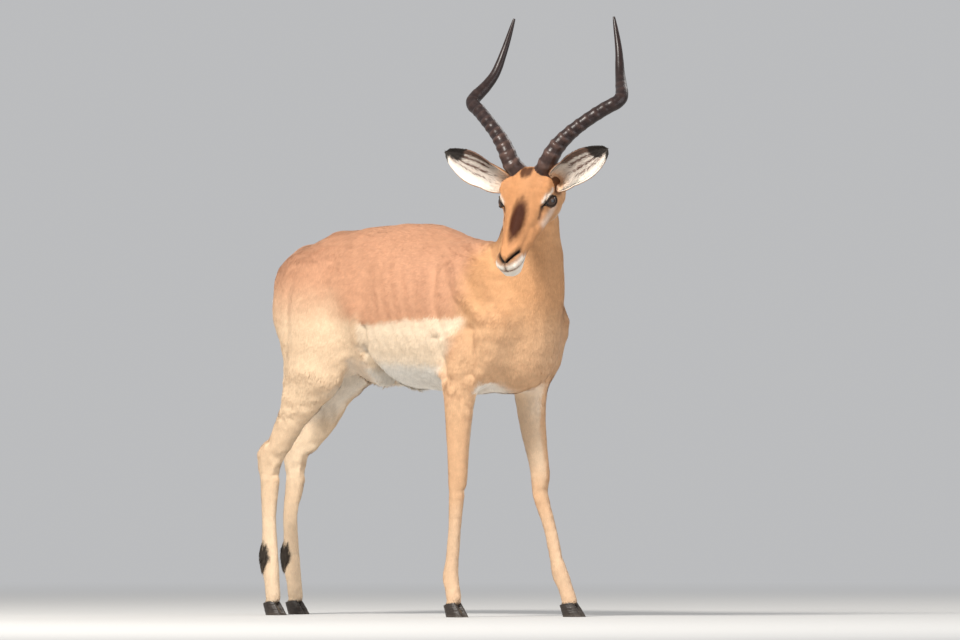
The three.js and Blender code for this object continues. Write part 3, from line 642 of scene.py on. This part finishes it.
def muzzle_markings(q, forward, up, tan):
    """White lips and chin, black nostrils, and thin dark lines for the mouth and philtrum."""
    return layered(
        tan,
        (WHITE, 0.95 * bump(to_line(q, "lip"), 8)),
        (WHITE, 0.95 * step(-46, -52, up) * step(186, 214, forward)),
        (UMBER, 0.5 * bump(to_line(q, "nostril"), 8)),
        (BLACK, 1.25 * bump(to_line(q, "nostril"), 4.2)),
        (BLACK, 0.9 * bump(to_line(q, "mouth"), 2.4) * step(186, 206, forward)),
        (BLACK, 0.95 * bump(to_line(q, "philtrum"), 2.4)),
    )


def markings(p, normals):
    """The coat's colour anywhere on the skin, which skin and tufts share."""
    colours = body_markings(p, normals)
    colours = colours + (head_markings(to_head(p)) - colours) * head_share(p)[:, None]
    return colours * (1 + 0.03 * wavy(p, 120, 8) + 0.02 * wavy(p, 14, 9))[:, None]


# ---- the lie of the coat
BODY_WAYS = [
    [(150, 0, 790), (120, 0, 600)],
    [(90, 0, 760), (-300, 0, 740)],
    [(-250, 0, 760), (-560, 0, 740)],
    [(-560, 0, 820), (-590, 0, 720), (-555, 0, 550)],
]
# axes of the legs in x and z, and how far they stand from the middle
FORELEGS = {RIGHT: [(16, 530), (9, 312), (0, 10)], LEFT: [(72, 530), (92, 314), (162, 10)]}
FORELEG_OUT, HINDLEG_OUT = {RIGHT: 90, LEFT: 112}, 82


def bone_lines():
    """Straight pieces that the hair follows from their first end to their second."""
    paths = [[from_head((236, 0, -50)), from_head((-60, 0, -70)), (140, -10, 800)]] + BODY_WAYS
    for side, axis in FORELEGS.items():
        x, z = HIND_HOCK[side]
        hind = [(-420, 800), (-430, 560), (x + 30, z + 60), (x, z), (x, 10)]
        fore = [(x, side * FORELEG_OUT[side], z) for x, z in axis]
        paths += [[(90, side * 80, 700), *fore], [(x, side * HINDLEG_OUT, z) for x, z in hind]]
    return [pair for path in paths for pair in pairs(np.array(path, float))]


def hair_way(p, normals):
    """The direction of the hair, laid down on the skin."""
    total = np.zeros_like(p)
    for a, b in bone_lines():
        total += unit(b - a) / (to_piece(p, a, b)[:, None] + 6) ** 4 * 1e4
    total = unit(total)
    total[:, 2] -= 0.25 * (1 - head_share(p))
    total -= normals * np.sum(total * normals, axis=1, keepdims=True)
    return unit(total)


# ---- tufts
BODY_HAIR, LEG_HAIR, FACE_HAIR, TAIL_HAIR, FETLOCK_HAIR = 12, 7.5, 5.8, 34, 20  # lengths
BODY_TUFTS, FACE_TUFTS = 0.17, 0.55  # to the square millimetre
MORE_ON_LEGS, MORE_ON_TAIL, MORE_ON_FETLOCKS = 0.05, 0.15, 0.25
TUFT_ROOT = 0.8  # how deep a tuft starts in the skin
BAKE_PATCH = 0.0015  # half the size of a tuft's own patch of the skin's picture


def scatter(p, triangles, density):
    """Random roots over the skin: the triangle of each and its shares of the corners."""
    a, b, c = (p[triangles[:, i]] for i in range(3))
    area = norm(np.cross(b - a, c - a)) / 2
    expected = area * density[triangles].mean(axis=1)
    counts = np.floor(expected + rng.random(len(area))).astype(int)
    chosen = np.repeat(np.arange(len(area)), counts)
    u, v = rng.random((2, len(chosen)))
    flip = u + v > 1
    u, v = np.where(flip, 1 - u, u), np.where(flip, 1 - v, v)
    shares = np.column_stack([1 - u - v, u, v])
    return chosen, shares


def blended(values, triangles, chosen, shares):
    """Values at the roots, from those at the corners of their triangles."""
    return sum(values[triangles[chosen, i]] * shares[:, i:i + 1] for i in range(3))


def make_tufts(name, roots, normals, ways, lengths, widths, lift, colours, spots, material):
    """Thin curved blades from the roots along the skin, each a quad and a tip triangle."""
    count = len(roots)
    turn = rng.normal(0, 0.13, count)
    across = np.cross(normals, ways)
    ways = unit(ways * np.cos(turn)[:, None] + across * np.sin(turn)[:, None])
    across = np.cross(normals, ways)
    lengths = (lengths * rng.uniform(0.75, 1.25, count))[:, None]
    half = (widths * rng.uniform(0.8, 1.2, count) / 2)[:, None]
    rise = (lift * rng.uniform(0.6, 1.2, count))[:, None]
    middle = roots + ways * lengths * 0.5 + normals * rise * 0.75
    points = np.stack([
        roots - across * half * 0.7 - normals * TUFT_ROOT,
        roots + across * half * 0.7 - normals * TUFT_ROOT,
        middle + across * half,
        middle - across * half,
        roots + ways * lengths + normals * rise,
    ], axis=1).reshape(-1, 3)
    points[:, 2] = np.maximum(points[:, 2], ABOVE_FLOOR)
    first = np.arange(count)[:, None] * 5
    quads = first + np.array([0, 1, 2, 3])
    triangles = np.vstack([quads[:, [0, 1, 2]], quads[:, [0, 2, 3]], first + np.array([3, 2, 4])])
    shade = 1 + rng.normal(0, 0.035, (count, 1, 1))
    tone = np.array([0.95, 0.95, 1.0, 1.0, 1.04])[None, :, None]
    colours = np.clip(colours[:, None, :] * shade * tone, 0, 1).reshape(-1, 3)
    obj = make_object(name, points, triangles, material, colours)
    patch = np.array([(-1, -1), (1, -1), (1, 0.3), (-1, 0.3), (0, 1)]) * BAKE_PATCH
    corners = (spots[:, None, :] + patch[None]).reshape(-1, 2)
    layer = obj.data.uv_layers.new(name="OFBake")
    layer.data.foreach_set("uv", corners[triangles.ravel()].astype(np.float32).ravel())
    return obj


def shaggy(p):
    """Where the hair is long: shares of the tail and of the tufts above the hind fetlocks."""
    tufts = [step(1.15, 0.9, fetlock_tuft(p, side, 14, (20, 20, 34))) for side in FETLOCKS]
    return tail_share(p), np.maximum(*tufts)


def hair_length(p):
    """Short and sleek, shortest on the face and feet, long on the tail and the fetlock tufts."""
    leg, face = leg_share(p), head_share(p)
    tail, fetlock = shaggy(p)
    q = to_head(p)
    length = BODY_HAIR + (LEG_HAIR - BODY_HAIR) * leg
    length += 5 * step(620, 540, p[:, 2]) * (1 - leg)
    length += (FACE_HAIR - length) * face
    length -= 2.0 * face * step(120, 190, q[:, 0])
    length += 5 * face * bump(norm((q - (-34, 0, -26)) / (30, 46, 34)), 1)
    length += (TAIL_HAIR - length) * tail
    return length + (FETLOCK_HAIR - length) * fetlock


def bare(p):
    """1 where no hair grows: the eyes, the nostrils, the lips' edge, the hooves and horn roots."""
    q = to_head(p)
    horn_root = step(18, 16, to_path(folded(q), HORN_LINE[:2]))
    nostril = step(5.5, 4.5, to_line(q, "nostril"))
    mouth = step(2.4, 1.6, to_line(q, "mouth")) * step(180, 200, q[:, 0])
    philtrum = step(2.4, 1.6, to_line(q, "philtrum"))
    eyes = [step(1.42, 1.3, eye_place(q, side)[1]) for side in (LEFT, RIGHT)]
    face = np.max([*eyes, nostril, mouth, philtrum, horn_root], axis=0)
    return np.maximum(step(34, 31, p[:, 2]), face * head_share(p))


def coat_density(p):
    """Tufts to the square millimetre."""
    tail, fetlock = shaggy(p)
    dense = BODY_TUFTS + MORE_ON_LEGS * leg_share(p)
    dense += (FACE_TUFTS - dense) * head_share(p)
    dense += MORE_ON_TAIL * tail + MORE_ON_FETLOCKS * fetlock
    return dense * (1 - bare(p))


NECK_START, LEG_START, HIND_START = 40, 560, -200  # where the coat's pieces part, in x, z and x


def coat_regions(p):
    """Which points belong to each piece of the coat."""
    x, y, z = p.T
    head, front = head_share(p) > 0.5, x > NECK_START
    high, hind = z > LEG_START, x <= HIND_START
    return {
        "coat_head": head,
        "coat_neck": ~head & front & high,
        "coat_flank_left": ~front & high & (y > 0),
        "coat_flank_right": ~front & high & (y <= 0),
        "coat_forelegs": ~head & ~high & ~hind,
        "coat_hindlegs": ~high & hind,
    }


def grow_coat(form, p, triangles, normals, colours, corner_spots, material):
    """The coat over the whole skin, in pieces, from roots that share the skin's colours."""
    chosen, shares = scatter(p, triangles, coat_density(form))
    roots = blended(p, triangles, chosen, shares)
    outs = unit(blended(normals, triangles, chosen, shares))
    ways = hair_way(roots, outs)
    tints = blended(colours, triangles, chosen, shares)
    spots = sum(corner_spots[chosen * 3 + i] * shares[:, i:i + 1] for i in range(3))
    lengths = blended(hair_length(form)[:, None], triangles, chosen, shares)[:, 0]
    tail, fetlock = shaggy(roots)
    lift = 0.15 + 0.05 * lengths + 4 * tail + 3 * fetlock
    columns = (roots, outs, ways, lengths, 0.5 + 0.1 * lengths, lift, tints, spots)
    return [make_tufts(name, *[column[here] for column in columns], material)
            for name, here in coat_regions(roots).items()]


def unwrapped(obj):
    """Unfolds the skin by its own shape and gives the place of every triangle's corner."""
    bpy.context.view_layer.objects.active = obj
    obj.select_set(True)
    obj.data.uv_layers.new(name="OFBake")
    bpy.ops.object.mode_set(mode="EDIT")
    bpy.ops.mesh.select_all(action="SELECT")
    bpy.ops.uv.smart_project(angle_limit=math.radians(66), island_margin=0.001)
    bpy.ops.object.mode_set(mode="OBJECT")
    obj.select_set(False)
    spots = np.empty(len(obj.data.loops) * 2, np.float32)
    obj.data.uv_layers["OFBake"].data.foreach_get("uv", spots)
    return spots.reshape(-1, 2)


# ---- lofted pieces
def between(a, b, low, high, t):
    """A straight line's point at t, from a at low to b at high."""
    return a + (b - a) * (t - low) / (high - low)


def smooth_curve(stations, count):
    """Evenly spaced points on a smooth line through the stations (centripetal Catmull-Rom)."""
    s = np.asarray(stations, float)
    s = np.vstack([2 * s[0] - s[1], s, 2 * s[-1] - s[-2]])
    gaps = np.sqrt(norm(np.diff(s, axis=0)))
    fine = []
    for i in range(len(s) - 3):
        k = np.concatenate([[0], np.cumsum(gaps[i:i + 3])])
        t = np.linspace(k[1], k[2], 40, endpoint=i == len(s) - 4)[:, None]
        a = [between(s[i + n], s[i + n + 1], k[n], k[n + 1], t) for n in range(3)]
        b = [between(a[n], a[n + 1], k[n], k[n + 2], t) for n in range(2)]
        fine.append(between(*b, k[1], k[2], t))
    fine = np.vstack(fine)
    run = np.concatenate([[0], np.cumsum(norm(np.diff(fine, axis=0)))])
    even = np.linspace(0, run[-1], count)
    return np.column_stack([np.interp(even, run, fine[:, i]) for i in range(3)])


def ring_faces(levels, around):
    """Triangles between successive rings of points, with both ends closed by a fan."""
    i, j = np.meshgrid(np.arange(levels - 1), np.arange(around), indexing="ij")
    a, b = i * around + j, i * around + (j + 1) % around
    walls = np.vstack([np.column_stack([v.ravel() for v in tri]) for tri in (
        (a, b, a + around), (b, b + around, a + around))])
    j = np.arange(around)
    last = (levels - 1) * around
    root, tip = levels * around, levels * around + 1
    floor = np.column_stack([np.full(around, root), (j + 1) % around, j])
    roof = np.column_stack([np.full(around, tip), last + j, last + (j + 1) % around])
    return np.vstack([walls, floor, roof])


def outward(points, faces):
    """Turns the faces over if they face inwards."""
    a, b, c = (points[faces[:, i]] - points.mean(axis=0) for i in range(3))
    return faces if np.sum(np.cross(a, b) * c) > 0 else faces[:, ::-1]


def lofted(name, rings, colours, material):
    """A closed form from an array of rings in the head's system, with a colour for each point."""
    levels, around, _ = rings.shape
    points = np.vstack([rings.reshape(-1, 3), rings[0].mean(axis=0), rings[-1].mean(axis=0)])
    colours = np.vstack([colours, colours[:1], colours[-1:]])
    faces = outward(points, ring_faces(levels, around))
    return make_object(name, from_head(points), faces, material, colours)


HORN_LINE = [(-12, 26, -38), (-28, 46, -12), (-58, 63.5, 1), (-93, 89.5, 6), (-130, 124, 6),
             (-168, 161, 0), (-190, 184.5, -5), (-206, 188, -9), (-250, 171.5, -19),
             (-285, 159, -21), (-340, 146, -10), (-411, 127, 18)]
HORN_BASE, HORN_MIDDLE = 21.0, 15.5  # radii
HORN_RINGS, HORN_RINGED = 15, 0.7  # how many ridges, and how much of the length they take
HORN_LEVELS, HORN_AROUND = 420, 72
HORN_FRONT = np.array([0.35, 0, 0.94])  # the way the ridges are strongest
HORN_DARK, HORN_WORN = np.array([0.020, 0.011, 0.010]), np.array([0.115, 0.066, 0.052])


def make_horn(name, side, material):
    """A ringed horn: ridges strong in front and faint behind on the lower part, a smooth tip."""
    centres = smooth_curve(np.array(HORN_LINE) * (1, side, 1), HORN_LEVELS)
    along = unit(np.gradient(centres, axis=0))
    wide = unit(np.cross(along, HORN_FRONT))
    deep = np.cross(wide, along)
    t = np.linspace(0, 1, HORN_LEVELS)[:, None]
    radius = HORN_BASE + (HORN_MIDDLE - HORN_BASE) * step(0, 0.35, t)
    radius *= 1 - 0.38 * step(0.5, 0.82, t)
    radius *= np.sqrt(np.clip((1.02 - t) / 0.25, 0, 1))
    turn = np.linspace(0, 2 * np.pi, HORN_AROUND, endpoint=False)
    cos, sin = np.cos(turn), np.sin(turn)
    stretch = 1.14 - 0.14 * step(0, 0.3, t)
    ring = (t + 0.007 * cos + 0.0025 * np.sin(2 * turn + 1)) / HORN_RINGED * HORN_RINGS
    place = ring - np.floor(ring)
    ridge = np.where(place < 0.62, step(0.2, 0.62, place), step(0.92, 0.62, place))
    uneven = 1 + 0.3 * np.sin(np.floor(ring) * 2.4 + side)
    fade = step(0.72, 0.6, t) * step(0.0, 0.03, t)
    strong = step(0.62, 0.15, t) * 0.6 + 0.4
    swell = (ridge - 0.3) * (0.02 + 0.085 * (0.5 + 0.5 * cos)) * uneven * fade * strong
    rings = centres[:, None] + (radius * (1 + swell))[..., None] * (
        deep[:, None] * (cos * stretch)[..., None] + wide[:, None] * sin[:, None])
    grooves = 0.006 * np.sin(turn * 23 + 2 * np.sin(turn * 3)) * step(0.8, 0.5, t)
    rings += (rings - centres[:, None]) * grooves[..., None]
    wear = (0.15 + 0.6 * step(0.5, 0.0, t)) * ridge * fade
    wear = np.clip(wear + 0.35 * step(0.3, 0.0, t), 0, 1)
    shades = HORN_DARK + (HORN_WORN - HORN_DARK) * wear[..., None] * 0.75
    return lofted(name, rings, shades.reshape(-1, 3), material)


EAR_LINE = [(-10, 61, -61), (-10, 82, -46), (-17, 121.5, -22), (-31, 169, -1), (-44, 205, 15)]
EAR_OPENING = 0.62, 0.1, 0.78  # the way the left ear's hollow faces
EAR_LEVELS, EAR_ACROSS, EAR_SHELL = 90, 44, 2.2
# the second colour is painted shade for the folds inside the ear
EAR_PALE, EAR_HOLLOW_SHADE = (0.60, 0.50, 0.43), (0.11, 0.05, 0.035)
EAR_HAIRS = {1: 3000, 0: 6500}  # within and behind
EAR_GRID = 120, 61  # places along and across an ear where its hairs may stand


def ear_surface(side, levels, across, hollow_shift):
    """A grid of points on the ear's leaf, curled round its opening, and its two parameters."""
    mirror = np.array([1, side, 1])
    centres = smooth_curve(np.array(EAR_LINE) * mirror, levels)
    along = unit(np.gradient(centres, axis=0))
    opening = np.broadcast_to(unit(np.array(EAR_OPENING) * mirror), along.shape)
    wide = unit(np.cross(along, opening))
    hollow = np.cross(wide, along)
    t = np.linspace(0, 1, levels)
    half = 4 + 38 * np.maximum(np.sin(np.pi * t ** 0.82), 0) ** 0.62 + 8 * (1 - t) ** 2
    bend = 1.9 + (0.55 - 1.9) * step(0, 0.85, t)
    radius = (half / np.minimum(bend, 1.4))[:, None, None]
    share = np.linspace(-1, 1, across)
    turn = (share[None, :] * bend[:, None])[:, :, None]
    depth = radius - hollow_shift
    points = centres[:, None, :] + wide[:, None, :] * depth * np.sin(turn)
    points = points + hollow[:, None, :] * (radius - depth * np.cos(turn))
    return points, *np.meshgrid(t, share, indexing="ij")


def make_ear(name, side, material):
    """An ear's leaf, closed round its edge: tan behind, white within, a dark rim and tip."""
    outer, t, share = ear_surface(side, EAR_LEVELS, EAR_ACROSS, -0.4)
    inner = ear_surface(side, EAR_LEVELS, EAR_ACROSS, EAR_SHELL)[0]
    rings, length, place, inside = (np.hstack(halves) for halves in (
        (outer, inner[:, ::-1]), (t, t), (share, share[:, ::-1]),
        (np.zeros_like(t), np.ones_like(t))))
    colours = ear_colours(length.ravel(), place.ravel() * ear_upper(side), inside.ravel())
    return lofted(name, rings, colours, material)


def ear_upper(side):
    """Sign that makes the share across an ear rise towards its upper edge."""
    outer = ear_surface(side, 9, 9, 0)[0]
    high = from_head(outer[4, -1]) - from_head(outer[4, 0])
    return 1 if high[2] > 0 else -1


def ear_colours(t, upper, inside):
    """The ear's colour by shares: along it, across it to its upper edge, and of its inside."""
    middle = step(0.12, 0.35, t) * step(0.95, 0.7, t)
    # painted shade: dark streaks inside the ear where its folds lie in shade
    hollow_shade = bump(upper - 0.46, 0.13) + bump(upper + 0.02, 0.11) + 0.9 * bump(upper + 0.4, 0.09)
    back = layered(one_colour(NECK, len(t)), (UMBER, 0.25 * step(0.2, 0.9, t)))
    front = layered(
        one_colour(EAR_PALE, len(t)),
        (EAR_HOLLOW_SHADE, 0.95 * np.minimum(hollow_shade, 1) * middle),
        (WHITE, 0.9 * step(-0.55, -0.8, upper)),
    )
    tip = step(1.12, 0.93, np.hypot((t - 0.96) / 0.26, upper - 0.5))
    return layered(
        back + (front - back) * inside[:, None],
        (UMBER, 0.9 * step(0.60, 0.80, upper) * step(0.15, 0.4, t)),
        (LIMB, 0.8 * step(0.2, 0.06, t)),
        (BLACK, 0.95 * np.maximum(tip, step(0.88, 0.93, t))),
    )


def ear_side_hair(side, inside, count):
    """The hair on one face of an ear: what make_tufts takes, but for widths and the material."""
    rows, columns = EAR_GRID
    grid, t, share = ear_surface(side, rows, columns, EAR_SHELL + 0.1 if inside else -0.5)
    grid = from_head(grid)
    down, across = np.gradient(grid, axis=0), np.gradient(grid, axis=1)
    normal = unit(np.cross(down, across))
    opening = unit(np.array(EAR_OPENING) * (1, 0, 1))
    middle = from_head(np.array(EAR_LINE)[2] * (1, side, 1) + opening * 40)
    centre = rows // 2, columns // 2
    toward = np.sign(np.sum(normal[centre] * (middle - grid[centre])))
    normal = normal * toward * (1 if inside else -1)
    i = (rng.uniform(0.07, 0.97, count) * (rows - 1)).astype(int)
    edge = rng.random(count)
    if inside:
        rim = np.sign(rng.random(count) - 0.5) * (1 - 0.55 * rng.random(count) ** 1.5)
        reach = np.where(edge < 0.6, rim, rng.uniform(-1, 1, count))
    else:
        reach = rng.uniform(-1, 1, count)
    j = np.clip(((reach + 1) / 2 * (columns - 1)).astype(int), 0, columns - 1)
    ways = unit(unit(down[i, j]) - 0.75 * inside * reach[:, None] * unit(across[i, j]))
    t, share = t[i, j], share[i, j]
    tints = ear_colours(t, share * ear_upper(side), np.full(count, float(inside)))
    pale = 0.45 * inside * step(0.85, 0.7, t) * step(0.2, 0.35, tints[:, 0])
    spots = np.column_stack([0.5 * inside + 0.02 + 0.45 * (share + 1) / 2, 0.02 + 0.95 * t])
    lengths = (20.0 if inside else 8.0) * (1 - 0.45 * t)
    lift = np.full(count, 2.2 if inside else 0.9)
    return grid[i, j], normal[i, j], ways, lengths, lift, layered(tints, (WHITE, pale)), spots


def ear_hair(name, side, material):
    """Pale hair that lies inside the ear, and short hair over its back."""
    halves = [ear_side_hair(side, inside, count) for inside, count in EAR_HAIRS.items()]
    roots, normals, ways, lengths, *others = (np.concatenate(parts) for parts in zip(*halves))
    return make_tufts(name, roots, normals, ways, lengths, 0.9 + 0.05 * lengths, *others, material)


IRIS, PUPIL, EYE_EDGE = (0.045, 0.022, 0.012), (0.006, 0.004, 0.004), (0.012, 0.008, 0.007)
EYE_LEVELS, EYE_AROUND = 90, 96


def make_eye(name, side, material):
    """An eyeball with a raised clear front, a dark brown iris and a level oval pupil."""
    centre, out = eye_frame(side)[:2]
    polar, turn = np.meshgrid(
        np.linspace(0.004, np.pi - 0.004, EYE_LEVELS),
        np.linspace(0, 2 * np.pi, EYE_AROUND, endpoint=False), indexing="ij")
    level = unit(np.cross(np.array([0, 0, 1.0]) @ HEAD, out))
    across, high = np.sin(polar) * np.cos(turn), np.sin(polar) * np.sin(turn)
    way = (np.cos(polar)[..., None] * out + across[..., None] * level
           + high[..., None] * np.cross(out, level))
    radius = EYE_RADIUS - 0.6 + 0.9 * step(0.85, 0.35, polar)
    across, high = across.ravel() * EYE_RADIUS, high.ravel() * EYE_RADIUS
    fibres = 0.5 + 0.5 * np.sin(turn * 41 + 3 * np.sin(turn * 7)).ravel()
    colours = layered(
        one_colour(IRIS, len(across)) * (0.8 + 0.4 * fibres)[:, None],
        (PUPIL, step(0.62, 0.5, np.hypot(across / 9.5, high / 6.0))),
        (EYE_EDGE, step(0.92, 1.04, np.hypot(across / 12.5, high / 11.5))),
    )
    return lofted(name, centre + way * radius[..., None], colours, material)


HOOF_DARK, HOOF_WORN = np.array([0.028, 0.022, 0.019]), np.array([0.085, 0.068, 0.055])
GROWTH = 1.7  # how fast the growth lines follow one another, in radians to the millimetre


def make_hoof(name, material):
    """One claw: the CAD's form with rounded facets and fine growth lines round its wall."""
    mesh = remeshed(*mesh_arrays(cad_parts[name].data), HOOF_VOXEL)
    p, triangles = as_triangles(largest_shell(mesh), mesh)
    p = smoothed(p, triangles, 14, step(1.0, 4.0, p[:, 2]))
    normals = point_normals(p, triangles)
    rise = p[:, 2] + 0.12 * p[:, 0]
    lines = np.sin(rise * GROWTH) * 0.28 + np.sin(rise * 0.63 + 1) * 0.2
    sideways = np.hypot(normals[:, 0], normals[:, 1])
    p = p + normals * (lines * sideways * step(1, 4, p[:, 2]))[:, None]
    p[:, 2] = np.maximum(p[:, 2], 0.0)
    share = step(10, 0, p[:, 2]) * 0.5 + 0.18 * (1 + np.sin(rise * GROWTH)) * sideways
    colours = HOOF_DARK + (HOOF_WORN - HOOF_DARK) * np.clip(share, 0, 1)[:, None]
    return make_object(name + "_horn", p, triangles, material, colours)


# ---- materials
def set_inputs(node, **inputs):
    """Sets a node's inputs; an underscore stands for a space in their names."""
    for name, value in inputs.items():
        node.inputs[name.replace("_", " ")].default_value = value
    return node


def new_material(name):
    """A material, and what makes a node in it and what joins (node, output, node, input)."""
    material = bpy.data.materials.new(name)
    material.use_nodes = True
    tree = material.node_tree

    def add_node(kind, **inputs):
        return set_inputs(tree.nodes.new("ShaderNode" + kind), **inputs)

    def join(*wires):
        for source, output, target, socket in wires:
            tree.links.new(source.outputs[output], target.inputs[socket])

    return material, add_node, join


def surface(name, roughness, fine, strength, grain_scale, grain_depth,
            sheen=0.0, coat=0.0, gloss=0.3):
    """A finish that takes its colour from the painted points and breaks it with fine noise."""
    material, add_node, join = new_material(name)
    shader = set_inputs(
        material.node_tree.nodes["Principled BSDF"], Roughness=roughness, Sheen_Weight=sheen,
        Specular_IOR_Level=gloss, Sheen_Roughness=0.5, Coat_Weight=coat, Coat_Roughness=0.05)
    colour = add_node("Attribute")
    colour.attribute_name = "coat"
    place = add_node("TexCoord")
    noise = add_node("TexNoise", Scale=fine, Detail=3)
    spread = add_node(
        "MapRange", From_Min=0.3, From_Max=0.7, To_Min=1 - strength, To_Max=1 + strength)
    product = add_node("VectorMath")
    product.operation = "MULTIPLY"
    grain = add_node("TexNoise", Scale=grain_scale)
    raised = add_node("Bump", Strength=0.6, Distance=grain_depth * MM)
    join(
        (place, "Object", noise, "Vector"), (noise, "Fac", spread, "Value"),
        (colour, "Color", product, 0), (spread, "Result", product, 1),
        (product, "Vector", shader, "Base Color"),
        (place, "Object", grain, "Vector"), (grain, "Fac", raised, "Height"),
        (raised, "Normal", shader, "Normal"))
    return material


SKIN = surface("skin", 0.72, 60, 0.06, 420, 0.8, gloss=0.12)
HAIR = surface("hair", 0.62, 90, 0.07, 500, 0.3, sheen=0.02, gloss=0.15)
EAR = surface("ear_leather", 0.7, 120, 0.15, 500, 0.5, gloss=0.25)
HORN = surface("horn", 0.34, 90, 0.3, 260, 0.25)
HOOF = surface("hoof", 0.4, 130, 0.25, 300, 0.4)
EYE = surface("eye", 0.14, 200, 0.1, 200, 0.02, coat=0.35)


# ---- putting it together
def add(obj, slot, *nodes):
    """Fixes a piece to the body and hides the CAD nodes it stands for; its slot is not used."""
    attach(obj, "root")
    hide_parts(*nodes)


plain_form, form, skin_faces = make_skin_form()
skin_normals = point_normals(form, skin_faces)
skin_colours = markings(plain_form, skin_normals)
skin = make_object("skin", form, skin_faces, SKIN, skin_colours)
add(skin, "coat", *FLESH)
corner_spots = unwrapped(skin)
for piece in grow_coat(
        plain_form, form, skin_faces, skin_normals, skin_colours, corner_spots, HAIR):
    add(piece, "coat")
for word, side in SIDES.items():
    add(make_horn(f"horn_sheath_{word}", side, HORN), "horn", f"horn_{word}")
    add(make_ear(f"ear_leaf_{word}", side, EAR), "coat", f"ear_{word}")
    add(ear_hair(f"ear_hair_{word}", side, HAIR), "coat")
    add(make_eye(f"eyeball_{word}", side, EYE), "eye", f"eye_{word}")
for name in HOOVES:
    add(make_hoof(name, HOOF), "hoof", name)


# ---- floor, light and camera
VIEW_AZIMUTH = math.radians(40)
TO_CAMERA = np.array([math.sin(VIEW_AZIMUTH), -math.cos(VIEW_AZIMUTH), 0])
IMAGE_RIGHT = np.array([math.cos(VIEW_AZIMUTH), math.sin(VIEW_AZIMUTH), 0])
CAMERA_DISTANCE = 50000.0
AIM = np.array([0, 0, 683.0])
SENSOR, FOCAL = 36.0, 815.0


def placed(p):
    """A point of the body's system where Blender has it."""
    return Vector(((np.asarray(p) + ORIGIN) * MM).tolist())


STUDIO = (0.50, 0.505, 0.515)  # the light that comes from everywhere
FLOOR_PAINT = (0.52, 0.515, 0.505)
FLOOR_NEAR, FLOOR_FAR = 1.6, 7.0  # in metres, where the floor starts and ends its fading
FLOOR_REACH = 200000.0
LIGHTS_AIM = np.array([0, 0, 700.0])
# name, place to the picture's right, towards the camera and up, size in metres, power, colour
LIGHTS = [
    ("key", (-2100, 3000, 3600), 1.0, 375, (1.0, 0.96, 0.9)),
    ("fill", (3600, 2600, 900), 3.0, 70, (0.93, 0.96, 1.0)),
    ("rim", (2400, -3200, 2800), 2.0, 45, (1.0, 0.98, 0.95)),
]


def floor_material():
    """Pale matt paint that melts into the studio's own light far from the animal."""
    material, add_node, join = new_material("floor")
    nodes = material.node_tree.nodes
    shader = set_inputs(nodes["Principled BSDF"], Base_Color=(*FLOOR_PAINT, 1), Roughness=0.9)
    glow = add_node("Emission", Color=(*STUDIO, 1))
    place = add_node("NewGeometry")
    length = add_node("VectorMath")
    length.operation = "LENGTH"
    fade = add_node("MapRange", From_Min=FLOOR_NEAR, From_Max=FLOOR_FAR)
    fade.interpolation_type = "SMOOTHSTEP"
    mix = add_node("MixShader")
    join(
        (place, "Position", length, 0), (length, "Value", fade, "Value"),
        (fade, "Result", mix, "Fac"), (shader, "BSDF", mix, 1), (glow, "Emission", mix, 2),
        (mix, "Shader", nodes["Material Output"], "Surface"))
    return material


def make_floor():
    corners = np.array([(-1, -1, 0), (1, -1, 0), (1, 1, 0), (-1, 1, 0)]) * FLOOR_REACH
    make_object("floor", corners, [(0, 1, 2, 3)], floor_material())


def area_light(name, offset, size, power, colour):
    """A soft square light aimed at the body's middle."""
    data = bpy.data.lights.new(name, "AREA")
    data.size = size
    data.energy = power
    data.color = colour
    light = bpy.data.objects.new(name, data)
    right, near, high = offset
    light.location = placed(LIGHTS_AIM + (right * IMAGE_RIGHT + near * TO_CAMERA + (0, 0, high)))
    light.rotation_euler = (placed(LIGHTS_AIM) - light.location).to_track_quat("-Z", "Y").to_euler()
    bpy.context.scene.collection.objects.link(light)


def make_light():
    for light in LIGHTS:
        area_light(*light)
    world = bpy.data.worlds.new("studio")
    world.use_nodes = True
    set_inputs(world.node_tree.nodes["Background"], Color=(*STUDIO, 1))
    bpy.context.scene.world = world
    bpy.context.scene.view_settings.view_transform = "Standard"


def make_camera():
    data = bpy.data.cameras.new("camera")
    data.sensor_width = SENSOR
    data.lens = FOCAL
    data.clip_end = 1000
    camera = bpy.data.objects.new("camera", data)
    camera.location = placed(AIM + CAMERA_DISTANCE * TO_CAMERA)
    camera.rotation_euler = Vector((-TO_CAMERA).tolist()).to_track_quat("-Z", "Y").to_euler()
    bpy.context.scene.collection.objects.link(camera)
    bpy.context.scene.camera = camera


make_floor()
make_light()
make_camera()
